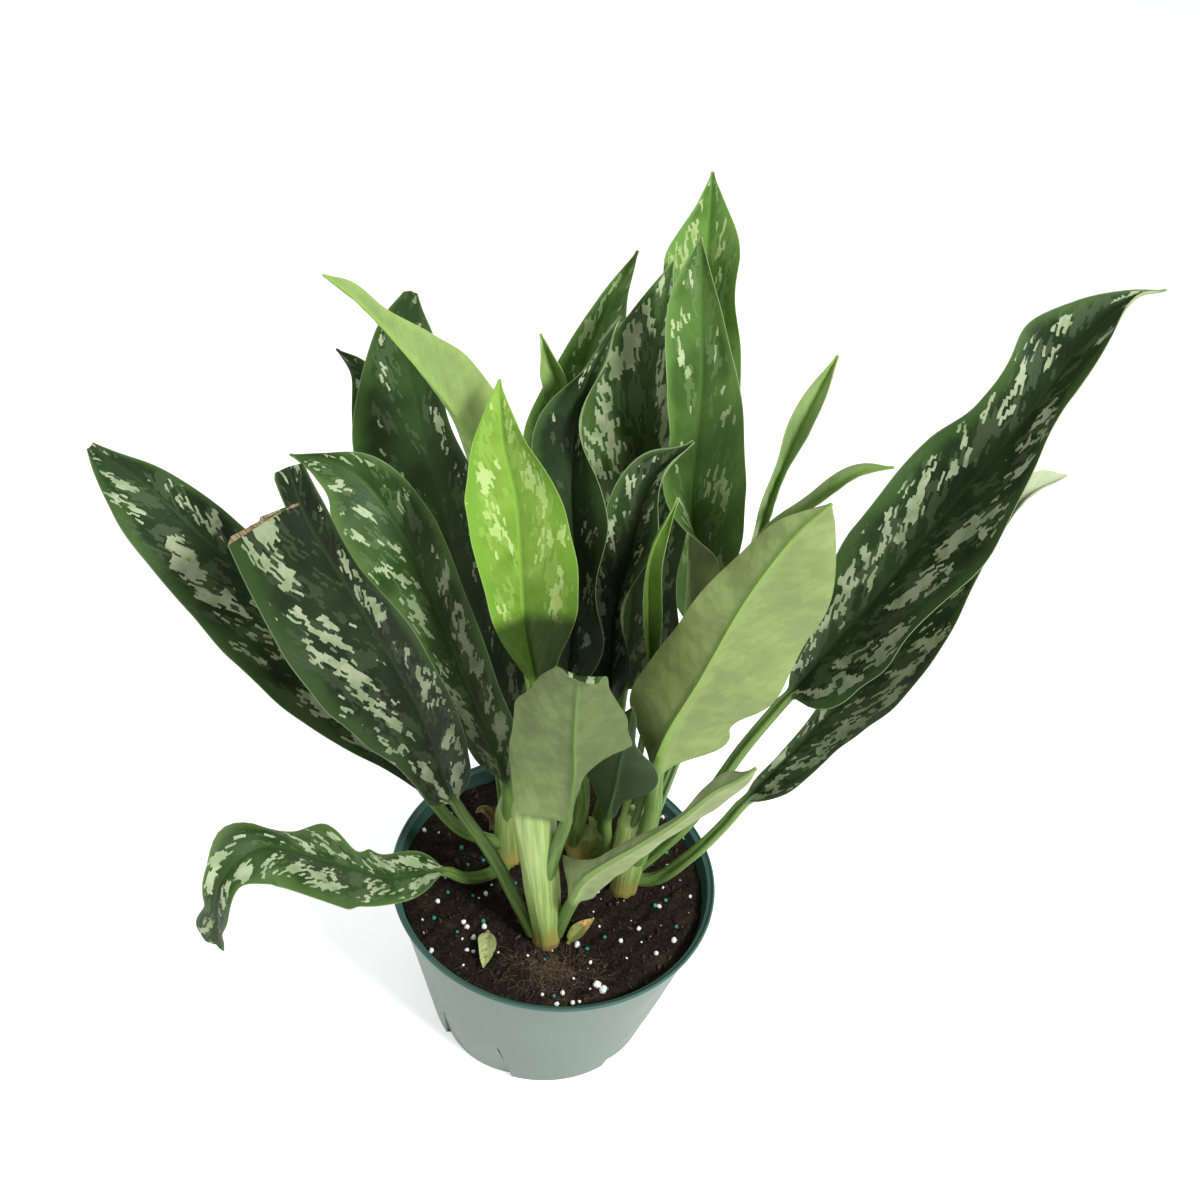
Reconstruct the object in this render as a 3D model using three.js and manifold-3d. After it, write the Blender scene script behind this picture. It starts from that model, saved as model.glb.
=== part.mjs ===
// A potted Chinese evergreen: a clump of long variegated leaves on pale stalks, in a small green pot.
//
// Millimetres, +Z up. The origin is the centre of the pot's underside, and -Y is the front.
// Each leaf is one solid: its stalk runs into the midrib, and the blade spreads from it. The stalks
// end in sockets in the shoots that carry them, and the shoots stand in holes in the soil.

import * as THREE from "three";
import Module from "manifold-3d";

const wasm = await Module();
wasm.setup();

// ---------------------------------------------------------------------------------------------
// Driving dimensions
// ---------------------------------------------------------------------------------------------

const CLEARANCE = 0.3; // between any two neighbouring pieces

const POT = {
  height: 92,
  rimRadius: 78,
  rimHeight: 2,
  rimInnerRadius: 76.6,
  wallTopRadius: 76.2, // outside of the wall, just under the rim
  baseRadius: 56,
  wall: 1.6,
  floor: 4.5,
  feet: 4, // panels that stand out around the foot, with shallow recesses between them
  footAngle: 47, // degrees of the circle that one of them takes
  firstFoot: -98, // where the front one starts, in degrees from +X
  recessHeight: 36,
  recessDepth: 1.9, // at a recess's two ends
  recessMiddle: 0.3, // share of that depth at its middle
  stepAngle: 1.2,
  slotWidth: 0.8, // drain slots, one at each step between panel and recess
  slotBottom: 2,
  slotHeight: 30,
  slotDepth: 22, // of the box that cuts one, enough to pass through the leaning wall
  slotLean: 0.2, // degrees that a panel gains on each side with every millimetre of height
  columns: 6, // on each panel and on each recess
};

const SOIL = {
  edgeHeight: 83,
  mound: 2.5, // how much higher the soil stands at its centre
  lump: 0.9,
  rings: 9,
  sides: 36,
  grains: 34, // white grains that show on top
  grainSize: 1.7,
  prills: 9, // round feed prills among them
  prillSize: 1.3,
  seed: 7,
};

const LEAF = {
  thickness: 0.9,
  ringSpacing: 18,
  stalkSpacing: 24,
  stalkRadius: 2.6,
  ribDepth: 0.45, // how deep the midrib stands out below, in stalk radii
  ribWidth: 0.35, // and how wide, in stalk radii
  ribFoot: 1, // what both gain where the blade starts
  ribFade: 0.1, // share of the blade over which that gain falls off
  blendLength: 12, // the stretch over which the round stalk flattens into the blade
  stations: [0.1, 0.3, 0.5, 0.7, 0.9], // where the half widths are given, along the blade
};

// Where the half widths of the longer leaves are given: in the middle of each tenth of the blade.
const TENTHS = [0.05, 0.15, 0.25, 0.35, 0.45, 0.55, 0.65, 0.75, 0.85, 0.95];

const COLOUR = {
  pot: 0x3f7a68,
  soil: 0x2a1c14,
  shoot: 0x9dbb6c,
  variegated: 0x2f5a34,
  underside: 0x9fb68c,
  young: 0x86b832,
  dryLeaf: 0xa9a552,
  drySheath: 0xc49a5c,
};

// ---------------------------------------------------------------------------------------------
// Small helpers
// ---------------------------------------------------------------------------------------------

const radians = THREE.MathUtils.degToRad;

function smooth(x) {
  return THREE.MathUtils.smoothstep(x, 0, 1);
}

// A repeatable random number generator.
function randomFrom(seed) {
  let state = seed >>> 0;
  return () => {
    state = (Math.imul(state, 1664525) + 1013904223) >>> 0;
    return state / 4294967296;
  };
}

// Values spread evenly from 0 to 1, with an eased change from each to the next.
function eased(values, t) {
  if (typeof values === "number") return values;
  const last = values.length - 1;
  const place = THREE.MathUtils.clamp(t, 0, 1) * last;
  const index = Math.min(Math.floor(place), last - 1);
  return THREE.MathUtils.lerp(values[index], values[index + 1], smooth(place - index));
}

// Half width of a blade at t: a smooth line through the given widths, from 0 at the base to the tip.
function halfWidth(widths, t, leaf) {
  const at = [0, ...(leaf.stations ?? LEAF.stations), 1];
  const width = [0, ...widths, leaf.tipWidth ?? 0];
  const slope = [];
  for (let i = 0; i < at.length - 1; i++) {
    slope.push((width[i + 1] - width[i]) / (at[i + 1] - at[i]));
  }
  const tangent = slope.map((s, i) => {
    if (i === 0) return s * (leaf.roundness ?? 1.35);
    if (s * slope[i - 1] <= 0) return 0;
    const before = at[i] - at[i - 1];
    const after = at[i + 1] - at[i];
    const mean = (slope[i - 1] * after + s * before) / (before + after);
    return Math.sign(mean) * Math.min(Math.abs(mean), 3 * Math.abs(s), 3 * Math.abs(slope[i - 1]));
  });
  tangent.push(slope.at(-1));
  let i = 0;
  while (i < at.length - 2 && t >= at[i + 1]) i++;
  const span = at[i + 1] - at[i];
  const q = (t - at[i]) / span;
  const value =
    (2 * q ** 3 - 3 * q ** 2 + 1) * width[i] +
    (q ** 3 - 2 * q ** 2 + q) * span * tangent[i] +
    (3 * q ** 2 - 2 * q ** 3) * width[i + 1] +
    (q ** 3 - q ** 2) * span * tangent[i + 1];
  return Math.max(value, 0.6);
}

// ---------------------------------------------------------------------------------------------
// Solids
// ---------------------------------------------------------------------------------------------

// A closed solid from triangles that may repeat their corners.
function solidOf(geometry) {
  const flat = geometry.index ? geometry.toNonIndexed() : geometry;
  const source = flat.getAttribute("position");
  const corners = new Map();
  const vertProperties = [];
  const triVerts = [];
  for (let i = 0; i < source.count; i++) {
    const corner = [source.getX(i), source.getY(i), source.getZ(i)];
    const key = corner.map((c) => Math.round(c * 1e4)).join(" ");
    if (!corners.has(key)) {
      corners.set(key, vertProperties.length / 3);
      vertProperties.push(...corner);
    }
    triVerts.push(corners.get(key));
  }
  const kept = [];
  for (let i = 0; i < triVerts.length; i += 3) {
    const [a, b, c] = triVerts.slice(i, i + 3);
    if (a !== b && b !== c && c !== a) kept.push(a, b, c);
  }
  return new wasm.Manifold(
    new wasm.Mesh({
      numProp: 3,
      vertProperties: new Float32Array(vertProperties),
      triVerts: new Uint32Array(kept),
    }),
  );
}

// The largest body of a solid, as a geometry: loose scraps of a cut are dropped.
function geometryOf(solid) {
  const bodies = solid.decompose().sort((a, b) => b.volume() - a.volume());
  const mesh = bodies[0].getMesh();
  const geometry = new THREE.BufferGeometry();
  geometry.setAttribute("position", new THREE.BufferAttribute(mesh.vertProperties, 3));
  geometry.setIndex(new THREE.BufferAttribute(mesh.triVerts, 1));
  geometry.computeVertexNormals();
  return geometry;
}

// Skins a row of rings that have as many points each, and closes both ends.
function loft(rings) {
  const count = rings[0].length;
  const half = count / 2;
  const points = rings.flat();
  const index = [];
  for (let i = 0; i < rings.length - 1; i++) {
    for (let j = 0; j < count; j++) {
      const a = i * count + j;
      const b = i * count + ((j + 1) % count);
      const c = b + count;
      const d = a + count;
      // The underside is split along the same diagonal as the upper side.
      if (j < half) index.push(a, b, c, a, c, d);
      else index.push(a, b, d, b, c, d);
    }
  }
  for (const [first, flip] of [[0, true], [(rings.length - 1) * count, false]]) {
    for (let j = 0; j < half - 1; j++) {
      const a = first + j;
      const b = first + j + 1;
      const c = first + count - 2 - j;
      const d = first + count - 1 - j;
      const faces = flip ? [a, c, b, a, d, c] : [a, b, c, a, c, d];
      index.push(...faces);
    }
  }
  const geometry = new THREE.BufferGeometry();
  geometry.setFromPoints(points);
  geometry.setIndex(index);
  return geometry;
}

// A tapering tube with an oval section along given points. radii holds [across, deep] for each.
function stemGeometry(points, radii, sides = 10) {
  const curve = new THREE.CatmullRomCurve3(points.map((p) => new THREE.Vector3(...p)), false, "centripetal");
  const steps = 2 * (points.length - 1);
  const rings = [];
  for (let i = 0; i <= steps; i++) {
    const t = i / steps;
    const middle = curve.getPoint(t);
    const across = eased(radii.map((r) => r[0]), t);
    const deep = eased(radii.map((r) => r[1]), t);
    const ring = [];
    for (let j = 0; j < sides; j++) {
      const angle = (-2 * Math.PI * j) / sides;
      const x = middle.x + across * Math.cos(angle);
      const y = middle.y + deep * Math.sin(angle);
      ring.push(new THREE.Vector3(x, y, middle.z));
    }
    rings.push(ring);
  }
  return loft(rings.map((ring) => ring.reverse()));
}

// ---------------------------------------------------------------------------------------------
// Leaves
// ---------------------------------------------------------------------------------------------

// Shape of one side of the blade's section: a walk outwards from the midrib at a slowly turning angle.
function sideWalk(width, fold, curl, half) {
  const fine = 6;
  const walk = [{ x: 0, y: 0, angle: 0 }];
  let x = 0;
  let y = 0;
  for (let j = 1; j <= half; j++) {
    for (let k = 0; k < fine; k++) {
      const q = (j - 1 + (k + 0.5) / fine) / half;
      const angle = fold + curl * (q - 0.5);
      x += (Math.cos(angle) * width) / half / fine;
      y += (Math.sin(angle) * width) / half / fine;
    }
    walk.push({ x, y, angle: fold + curl * (j / half - 0.5) });
  }
  return walk;
}

// The rings of a leaf from the foot of its stalk to its tip. grow thickens it all round.
function leafRings(leaf, grow = 0, stalkOnly = false) {
  const half = leaf.columns ?? 3;
  const radius = leaf.stalkRadius ?? LEAF.stalkRadius;
  const points = [...leaf.stalk, ...leaf.rib].map((p) => new THREE.Vector3(...p));
  const curve = new THREE.CatmullRomCurve3(points, false, "centripetal");
  const fine = 40;
  curve.arcLengthDivisions = fine * (points.length - 1);
  const lengths = curve.getLengths();
  const total = lengths.at(-1);
  const stalkLength = lengths[fine * leaf.stalk.length];
  const bladeLength = total - stalkLength;

  const stalkSteps = Math.max(2, Math.round(stalkLength / LEAF.stalkSpacing));
  const evenSteps = Math.max(7, Math.round(bladeLength / LEAF.ringSpacing));
  const ringsAt = leaf.ringsAt ?? Array.from({ length: evenSteps + 1 }, (_, i) => i / evenSteps);
  const bladeSteps = ringsAt.length - 1;
  const stations = [];
  for (let i = 0; i < stalkSteps; i++) stations.push((stalkLength * i) / stalkSteps);
  for (const t of ringsAt) stations.push(stalkLength + bladeLength * t);

  // The facing is set in the middle of the blade and carried along the midrib without spin.
  const tangents = stations.map((s) => curve.getTangentAt(s / total));
  const middle = stalkSteps + Math.round(bladeSteps * 0.45);
  const normals = [];
  const square = (n, tangent) => n.clone().addScaledVector(tangent, -n.dot(tangent)).normalize();
  normals[middle] = square(new THREE.Vector3(...leaf.faces), tangents[middle]);
  for (let i = middle + 1; i < stations.length; i++) normals[i] = square(normals[i - 1], tangents[i]);
  for (let i = middle - 1; i >= 0; i--) normals[i] = square(normals[i + 1], tangents[i]);

  const [waveHeight, waveCount, wavePhase] = leaf.wave ?? [0, 1, 0];
  const rings = [];
  stations.forEach((s, i) => {
    if (stalkOnly && i > stalkSteps) return;
    const t = THREE.MathUtils.clamp((s - stalkLength) / bladeLength, 0, 1);
    const widthLeft = halfWidth(leaf.left, t, leaf);
    const widthRight = halfWidth(leaf.right, t, leaf);
    const widthMean = (widthLeft + widthRight) / 2;
    const curl = radians(leaf.curl ?? 15);
    const left = sideWalk(widthLeft, radians(eased(leaf.foldLeft, t)), curl, half);
    const right = sideWalk(widthRight, radians(eased(leaf.foldRight, t)), curl, half);
    const flare = 1 + 0.3 * (1 - Math.min(s / stalkLength, 1));
    const round = radius * (1 - 0.75 * t) * flare + grow;
    const ribFoot = LEAF.ribFoot * Math.exp(-t / LEAF.ribFade);
    const ribDepth = radius * (LEAF.ribDepth + ribFoot) * (1 - 0.8 * t);
    const ribWidth = radius * (LEAF.ribWidth + ribFoot) * (1 - 0.4 * t);
    const flat = stalkOnly ? 0 : smooth((s - stalkLength + 4) / LEAF.blendLength);
    const fade = smooth(t / 0.12) * smooth((1 - t) / 0.12);
    const upper = [];
    const lower = [];
    for (let j = -half; j <= half; j++) {
      const side = j < 0 ? -1 : 1;
      const q = Math.abs(j) / half;
      const step = (j < 0 ? left : right)[Math.abs(j)];
      const angle = side * step.angle;
      const phase = wavePhase + (j > 0 ? 2.1 : 0);
      const wave = waveHeight * q ** 2.2 * Math.sin(2 * Math.PI * waveCount * t + phase) * fade;
      const outX = -Math.sin(angle);
      const outY = Math.cos(angle);
      const thick = LEAF.thickness + ribDepth * Math.exp(-(((q * widthMean) / ribWidth) ** 2));
      const x = side * step.x + outX * wave;
      const y = step.y + outY * wave;
      const turn = Math.PI * (1 - (j / half + 1) / 2);
      const tubeX = Math.cos(turn) * round;
      const tubeY = Math.sin(turn) * round;
      const sink = radius * 0.2;
      upper.push([
        THREE.MathUtils.lerp(tubeX, x, flat),
        THREE.MathUtils.lerp(tubeY - sink, y, flat),
      ]);
      lower.push([
        THREE.MathUtils.lerp(tubeX, x - outX * thick, flat),
        THREE.MathUtils.lerp(-tubeY - sink, y - outY * thick, flat),
      ]);
    }
    // The stalk's outermost points are moved apart, so that its two halves keep an edge between them.
    const gap = 0.35 * (1 - flat);
    for (const k of [0, 2 * half]) {
      upper[k][1] += gap;
      lower[k][1] -= gap;
    }
    const centre = curve.getPointAt(s / total);
    const across = new THREE.Vector3().crossVectors(tangents[i], normals[i]);
    const place = ([x, y]) => centre.clone().addScaledVector(across, x).addScaledVector(normals[i], y);
    rings.push([...upper.map(place), ...lower.reverse().map(place)]);
  });
  return rings;
}

// The leaves, from the shoot that carries them outwards. stalk and rib are points that each leaf's
// centre line runs through, and left and right are half widths, seen from its upper side.
const LEAVES = [
  // Right shoot
  {
    name: "leaf_right_long",
    look: "variegated",
    stalk: [[36, 0, 98], [58, -10, 152], [73, -14, 204]],
    rib: [
      [86, -14, 237], [110, -8, 286], [128, -2, 325], [150, 6, 370], [165, 14, 402], [176, 19, 414],
      [188, 24, 416],
    ],
    faces: [-0.72, -0.45, 0.45],
    stations: [0.05, 0.15, 0.25, 0.35, 0.45, 0.55, 0.65, 0.75, 0.8, 0.87, 0.95],
    left: [6, 14, 20, 24, 24, 22, 17, 18, 20, 12, 2],
    right: [17, 24, 33, 32, 32, 33, 28, 13, 12, 13, 4],
    foldLeft: [42, 34, 34],
    foldRight: [10, 18, 34],
    curl: 25,
    wave: [3, 3, 0.3],
  },
  {
    name: "leaf_right_low",
    look: "variegated",
    stalk: [[36, 3, 90], [47, 0, 95], [62, -6, 123], [73, -8, 148]],
    rib: [[80, -8, 166], [108, 0, 216], [131, 10, 254], [152, 22, 291], [172, 36, 319], [185, 44, 323]],
    faces: [-0.6, -0.45, 0.6],
    stations: TENTHS,
    left: [3, 4, 5, 8, 12, 14, 13, 9, 7, 6],
    right: [9, 17, 17, 25, 33, 28, 16, 5, 3, 3],
    foldLeft: [30, 30, 25],
    foldRight: [20, 28, 20],
    curl: 30,
    wave: [2, 2, 0],
  },
  {
    name: "leaf_front_pale",
    look: "underside",
    stalk: [[38, -7, 118], [40, -16, 160]],
    rib: [
      [38, -24, 196], [40, -30, 224], [47, -43, 266], [56, -62, 325], [65, -78, 366],
      [71, -88, 385],
    ],
    faces: [0.1, 0.75, 0.35],
    stations: [0.04, 0.09, 0.13, 0.2, 0.3, 0.5, 0.7, 0.9],
    left: [22, 29, 27, 29, 33, 33, 27, 12],
    right: [12, 20, 22, 22, 22, 17, 12, 6],
    roundness: 1.6,
    foldLeft: [20, 15, 15],
    foldRight: [38, 34, 25],
    curl: 12,
    wave: [2.5, 2.5, 0],
    stalkRadius: 3.4,
  },
  {
    name: "leaf_tallest",
    look: "variegated",
    stalk: [[33, 0, 126], [50, 24, 172]],
    rib: [[56, 44, 213], [48, 52, 274], [40, 58, 329], [30, 61, 380], [26, 63, 421]],
    faces: [-0.1, -0.8, 0.2],
    stations: TENTHS,
    left: [12, 20, 25, 27, 26, 22, 18, 16, 18, 5],
    right: [9, 13, 14, 15, 15, 14, 13, 14, 15, 6],
    foldLeft: [30, 28, 25],
    foldRight: [30, 30, 28],
    wave: [2, 3.5, 0.8],
  },
  {
    name: "leaf_tall_rolled",
    look: "variegated",
    stalk: [[33, -3, 134], [42, 4, 195]],
    rib: [[43, 10, 239], [39, 13, 279], [35, 17, 315], [33, 21, 349], [29, 26, 380], [24, 30, 410]],
    faces: [-0.05, -0.8, 0.2],
    stations: TENTHS,
    left: [10, 15, 16, 16, 14, 12, 14, 14, 13, 6],
    right: [10, 15, 20, 23, 23, 20, 17, 12, 8, 3],
    foldLeft: [140, 140, 30, 18, 20],
    foldRight: [25, 20, 25],
    curl: 20,
    wave: [1, 2, 0],
  },
  {
    name: "leaf_spear_right",
    look: "young",
    stalk: [[41, -3, 134], [51, -7, 215]],
    rib: [[62, -10, 302], [63, -12, 331], [69, -10, 365], [76, -4, 389]],
    faces: [-0.35, -0.85, 0.35],
    left: [4, 4, 4, 6, 3],
    right: [3, 3, 3, 6, 4],
    foldLeft: 50,
    foldRight: 50,
    curl: 40,
    stalkRadius: 1.8,
    columns: 2,
  },
  {
    name: "leaf_narrow_right",
    look: "variegated",
    stalk: [[32, -9, 136], [44, -17, 240]],
    rib: [[56, -26, 300], [63, -26, 326], [78, -26, 344], [89, -26, 357], [100, -28, 362]],
    faces: [-0.4, -0.3, 0.8],
    left: [2, 3, 3, 4, 2],
    right: [3, 4, 5, 5, 2],
    foldLeft: 30,
    foldRight: 30,
    stalkRadius: 1.5,
    columns: 2,
  },
  {
    name: "leaf_spear_centre",
    look: "young",
    stalk: [[28, -7, 136], [31, -6, 186]],
    rib: [[30, -8, 231], [26, -10, 265], [23, -11, 298], [29, -12, 326]],
    faces: [0.2, -0.9, 0.2],
    left: [4, 6, 8, 7, 4],
    right: [5, 6, 7, 6, 2],
    foldLeft: 60,
    foldRight: 60,
    curl: 40,
    stalkRadius: 1.4,
    columns: 2,
  },
  // Back shoot
  {
    name: "leaf_hooked",
    look: "variegated",
    stalk: [[21, 22, 92], [20, 12, 145]],
    rib: [[14, 2, 207], [11, 4, 250], [14, 4, 292], [19, 4, 322], [32, 6, 340]],
    faces: [-0.3, -0.75, 0.4],
    left: [10, 14, 14, 14, 6],
    right: [14, 14, 16, 13, 5],
    foldLeft: [30, 35, 40],
    foldRight: 45,
    curl: 25,
    wave: [4, 2, 0],
  },
  {
    name: "leaf_wavy",
    look: "variegated",
    stalk: [[8, 17, 94], [9, 12, 133]],
    rib: [[-4, -4, 215], [-6, 2, 270], [-12, 6, 316], [-12, 12, 348], [-2, 18, 379]],
    faces: [-0.2, -0.8, 0.3],
    left: [13, 16, 14, 15, 5],
    right: [13, 16, 19, 10, 3],
    foldLeft: [35, 35, 40],
    foldRight: [30, 35, 40],
    curl: 20,
    wave: [3.5, 2.5, 0],
  },
  {
    name: "leaf_back_broad",
    look: "variegated",
    stalk: [[17, 27, 94], [20, 28, 130]],
    rib: [[20, 26, 191], [18, 30, 263], [15, 34, 320], [14, 42, 356], [16, 52, 389]],
    faces: [-0.3, -0.8, 0.3],
    left: [14, 18, 24, 28, 12],
    right: [22, 26, 24, 16, 4],
    foldLeft: [28, 25, 20],
    foldRight: [20, 20, 25],
    curl: 20,
    wave: [3, 2.5, 0],
  },
  {
    name: "leaf_back_tall",
    look: "variegated",
    stalk: [[7, 26, 94], [1, 36, 145]],
    rib: [[-4, 44, 201], [-14, 52, 273], [-16, 58, 310], [-10, 66, 348], [2, 76, 380]],
    faces: [-0.2, -0.8, 0.3],
    stations: TENTHS,
    left: [12, 17, 18, 18, 20, 20, 16, 10, 5, 2],
    right: [12, 20, 23, 25, 26, 26, 24, 20, 12, 4],
    foldLeft: [22, 20, 20],
    foldRight: [22, 20, 25],
    curl: 20,
    wave: [2, 2, 0],
  },
  {
    name: "leaf_new_tip",
    look: "young",
    stalk: [[12, 21, 98], [8, 20, 140], [-5, 21, 220]],
    rib: [
      [-21, 25, 324], [-21, 25, 334], [-21, 25, 340], [-22, 25, 347], [-25, 26, 354],
      [-30, 27, 365],
    ],
    faces: [-0.2, -0.9, 0.2],
    stations: [0.1, 0.25, 0.4, 0.6, 0.8],
    left: [2, 4, 6, 6, 3],
    right: [2, 4, 6, 7, 4],
    foldLeft: 40,
    foldRight: 40,
    curl: 20,
    stalkRadius: 1.6,
    columns: 2,
  },
  {
    name: "leaf_front_small",
    look: "underside",
    stalk: [[19, 14, 92], [23, 6, 106]],
    rib: [[21, -14, 150], [22, -27, 184], [22, -35, 209], [23, -40, 231], [23, -42, 246]],
    faces: [0.2, 0.75, 0.3],
    stations: TENTHS,
    left: [3, 4, 5, 10, 15, 17, 14, 5, 3, 2],
    right: [3, 9, 15, 17, 17, 15, 12, 8, 5, 3],
    foldLeft: [0, 0, 10],
    foldRight: [20, 20, 10],
    stalkRadius: 2,
  },
  // Front shoot
  {
    name: "leaf_young_bright",
    look: "young",
    stalk: [[-13, -40, 160], [-15, -33, 195]],
    rib: [[-16, -30, 237], [-23, -25, 266], [-31, -14, 317], [-38, -8, 339], [-41, -4, 362]],
    faces: [-0.05, -0.85, 0.3],
    stations: TENTHS,
    left: [3, 8, 12, 14, 17, 19, 19, 15, 10, 4],
    right: [7, 15, 22, 26, 25, 21, 19, 15, 9, 2],
    foldLeft: [30, 20, 20],
    foldRight: [35, 20, 25],
    wave: [1.5, 2.5, 0],
  },
  {
    name: "leaf_young_swept",
    look: "young",
    stalk: [[-7, -35, 152], [-12, -24, 200]],
    rib: [
      [-25, -10, 256], [-38, -3, 308], [-54, 4, 336], [-74, 10, 356], [-97, 14, 377],
      [-109, 16, 384],
    ],
    faces: [0.35, 0.85, 0.1],
    stations: TENTHS,
    left: [4, 7, 10, 13, 17, 18, 18, 13, 6, 4],
    right: [8, 12, 14, 14, 12, 6, 3, 2, 2, 2],
    foldLeft: 20,
    foldRight: 20,
  },
  {
    name: "leaf_front_folded",
    look: "underside",
    stalk: [[-3, -39, 130], [0, -42, 158]],
    rib: [[3, -45, 181], [4, -50, 209], [2, -57, 242], [1, -63, 271], [1, -67, 282], [2, -71, 283]],
    faces: [0.05, 0.85, 0.2],
    stations: [0.012, 0.04, 0.1, 0.2, 0.3, 0.38, 0.45, 0.55, 0.65, 0.75, 0.85, 0.95],
    left: [2, 2, 2, 3, 5, 12, 23, 21, 20, 16, 12, 10],
    right: [19, 21, 23, 26, 28, 28, 27, 26, 25, 19, 15, 9],
    tipWidth: 7,
    roundness: 1,
    foldLeft: [30, 20, 10],
    foldRight: [-22, 8, 14, 14, 10],
    ringsAt: [0, 0.012, 0.06, 0.16, 0.28, 0.37, 0.46, 0.6, 0.74, 0.87, 1],
  },
  {
    name: "leaf_front_curled",
    look: "underside",
    stalk: [[5, -34, 90], [9, -40, 116]],
    rib: [
      [11, -47, 132], [14, -54, 154], [21, -61, 173], [33, -70, 198], [46, -79, 226],
      [56, -86, 251], [63, -90, 263], [67, -93, 273],
    ],
    faces: [0.3, 0.7, -0.3],
    stations: [0.03, 0.1, 0.18, 0.28, 0.4, 0.52, 0.64, 0.76, 0.87, 0.95],
    left: [6, 8, 10, 10, 8, 6, 6, 8, 7, 3],
    right: [19, 12, 7, 5, 5, 4, 3, 6, 6, 2],
    foldLeft: [30, 45, 50, 50, 50],
    foldRight: [20, 45, 50, 50, 50],
  },
  {
    name: "leaf_left_torn",
    look: "variegated",
    stalk: [[-6, -36, 90], [-28, -30, 133]],
    rib: [[-46, -26, 160], [-64, -30, 221], [-88, -32, 274], [-106, -30, 308], [-114, -24, 326]],
    faces: [0.35, -0.7, 0.5],
    stations: [0.05, 0.15, 0.25, 0.35, 0.45, 0.55, 0.65, 0.75, 0.85, 0.92, 0.934],
    left: [11, 16, 20, 27, 32, 36, 36, 35, 35, 35, 8],
    right: [9, 13, 14, 15, 14, 13, 11, 9, 9, 7, 7],
    tipWidth: 6,
    foldLeft: [22, 18, 20],
    foldRight: [20, 25, 30],
    wave: [2, 2.5, 0],
    ringsAt: [0, 0.05, 0.15, 0.28, 0.4, 0.52, 0.64, 0.76, 0.86, 0.92, 0.934, 1],
  },
  // Left shoot
  {
    name: "leaf_left_inner",
    look: "variegated",
    stalk: [[-25, 7, 118]],
    rib: [
      [-26, 5, 139], [-44, 3, 195], [-62, 5, 242], [-78, 8, 278], [-97, 14, 299], [-111, 16, 303],
      [-125, 18, 302],
    ],
    faces: [0.3, -0.7, 0.5],
    stations: TENTHS,
    left: [4, 12, 13, 18, 14, 17, 25, 26, 18, 6],
    right: [8, 12, 13, 13, 13, 14, 15, 14, 11, 2],
    foldLeft: [40, 25, 10],
    foldRight: [20, 20, 25],
    wave: [2, 3, 0.5],
  },
  {
    name: "leaf_left_long",
    look: "variegated",
    stalk: [[-26, 8, 98], [-34, 2, 106], [-46, -4, 118]],
    rib: [
      [-61, -8, 143], [-87, -12, 192], [-120, -10, 237], [-156, 0, 268], [-183, 10, 285],
      [-207, 20, 292],
    ],
    faces: [0.35, -0.6, 0.6],
    stations: TENTHS,
    left: [4, 11, 18, 24, 30, 31, 27, 25, 22, 10],
    right: [8, 15, 18, 20, 21, 19, 15, 14, 10, 4],
    tipWidth: 2,
    foldLeft: [22, 20, 20],
    foldRight: [20, 18, 15],
    wave: [2, 2.5, 0],
  },
  {
    name: "leaf_drooping",
    look: "variegated",
    stalk: [[-24, 4, 86], [-34, -8, 91], [-42, -14, 96]],
    rib: [
      [-50, -18, 104], [-72, -40, 121], [-96, -60, 152], [-119, -76, 174], [-131, -88, 166],
      [-135, -92, 128],
    ],
    faces: [-0.1, -0.3, 0.9],
    stations: [0.06, 0.15, 0.25, 0.35, 0.45, 0.55, 0.63, 0.7, 0.77, 0.86, 0.95],
    left: [5, 11, 14, 18, 24, 23, 19, 15, 8, 9, 5],
    right: [9, 13, 13, 7, 17, 11, 9, 14, 7, 5, 10],
    tipWidth: 5,
    foldLeft: [5, 5, 10],
    foldRight: [5, 5, 10],
    curl: -20,
    wave: [3, 2.5, 0],
  },
  {
    name: "leaf_back_left",
    look: "variegated",
    stalk: [[-25, 13, 112], [-28, 20, 128]],
    rib: [
      [-33, 28, 146], [-45, 38, 188], [-64, 46, 250], [-81, 54, 312], [-87, 58, 342],
      [-84, 54, 361],
    ],
    faces: [0.15, -0.85, 0.3],
    left: [13, 25, 31, 30, 15],
    right: [18, 28, 24, 14, 12],
    tipWidth: 3,
    foldLeft: [18, 15, 15],
    foldRight: [18, 18, 20],
    curl: 20,
    wave: [2, 2.5, 0],
  },
  {
    name: "leaf_rear_left",
    look: "variegated",
    stalk: [[-24, 13, 90], [-38, 38, 142]],
    rib: [[-72, 66, 220], [-97, 76, 276], [-109, 82, 305], [-122, 88, 311]],
    faces: [0.15, -0.85, 0.3],
    left: [8, 14, 16, 12, 4],
    right: [8, 14, 14, 10, 3],
    foldLeft: 15,
    foldRight: 15,
    curl: 20,
    stalkRadius: 2,
  },
];

// ---------------------------------------------------------------------------------------------
// Shoots
// ---------------------------------------------------------------------------------------------

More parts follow.
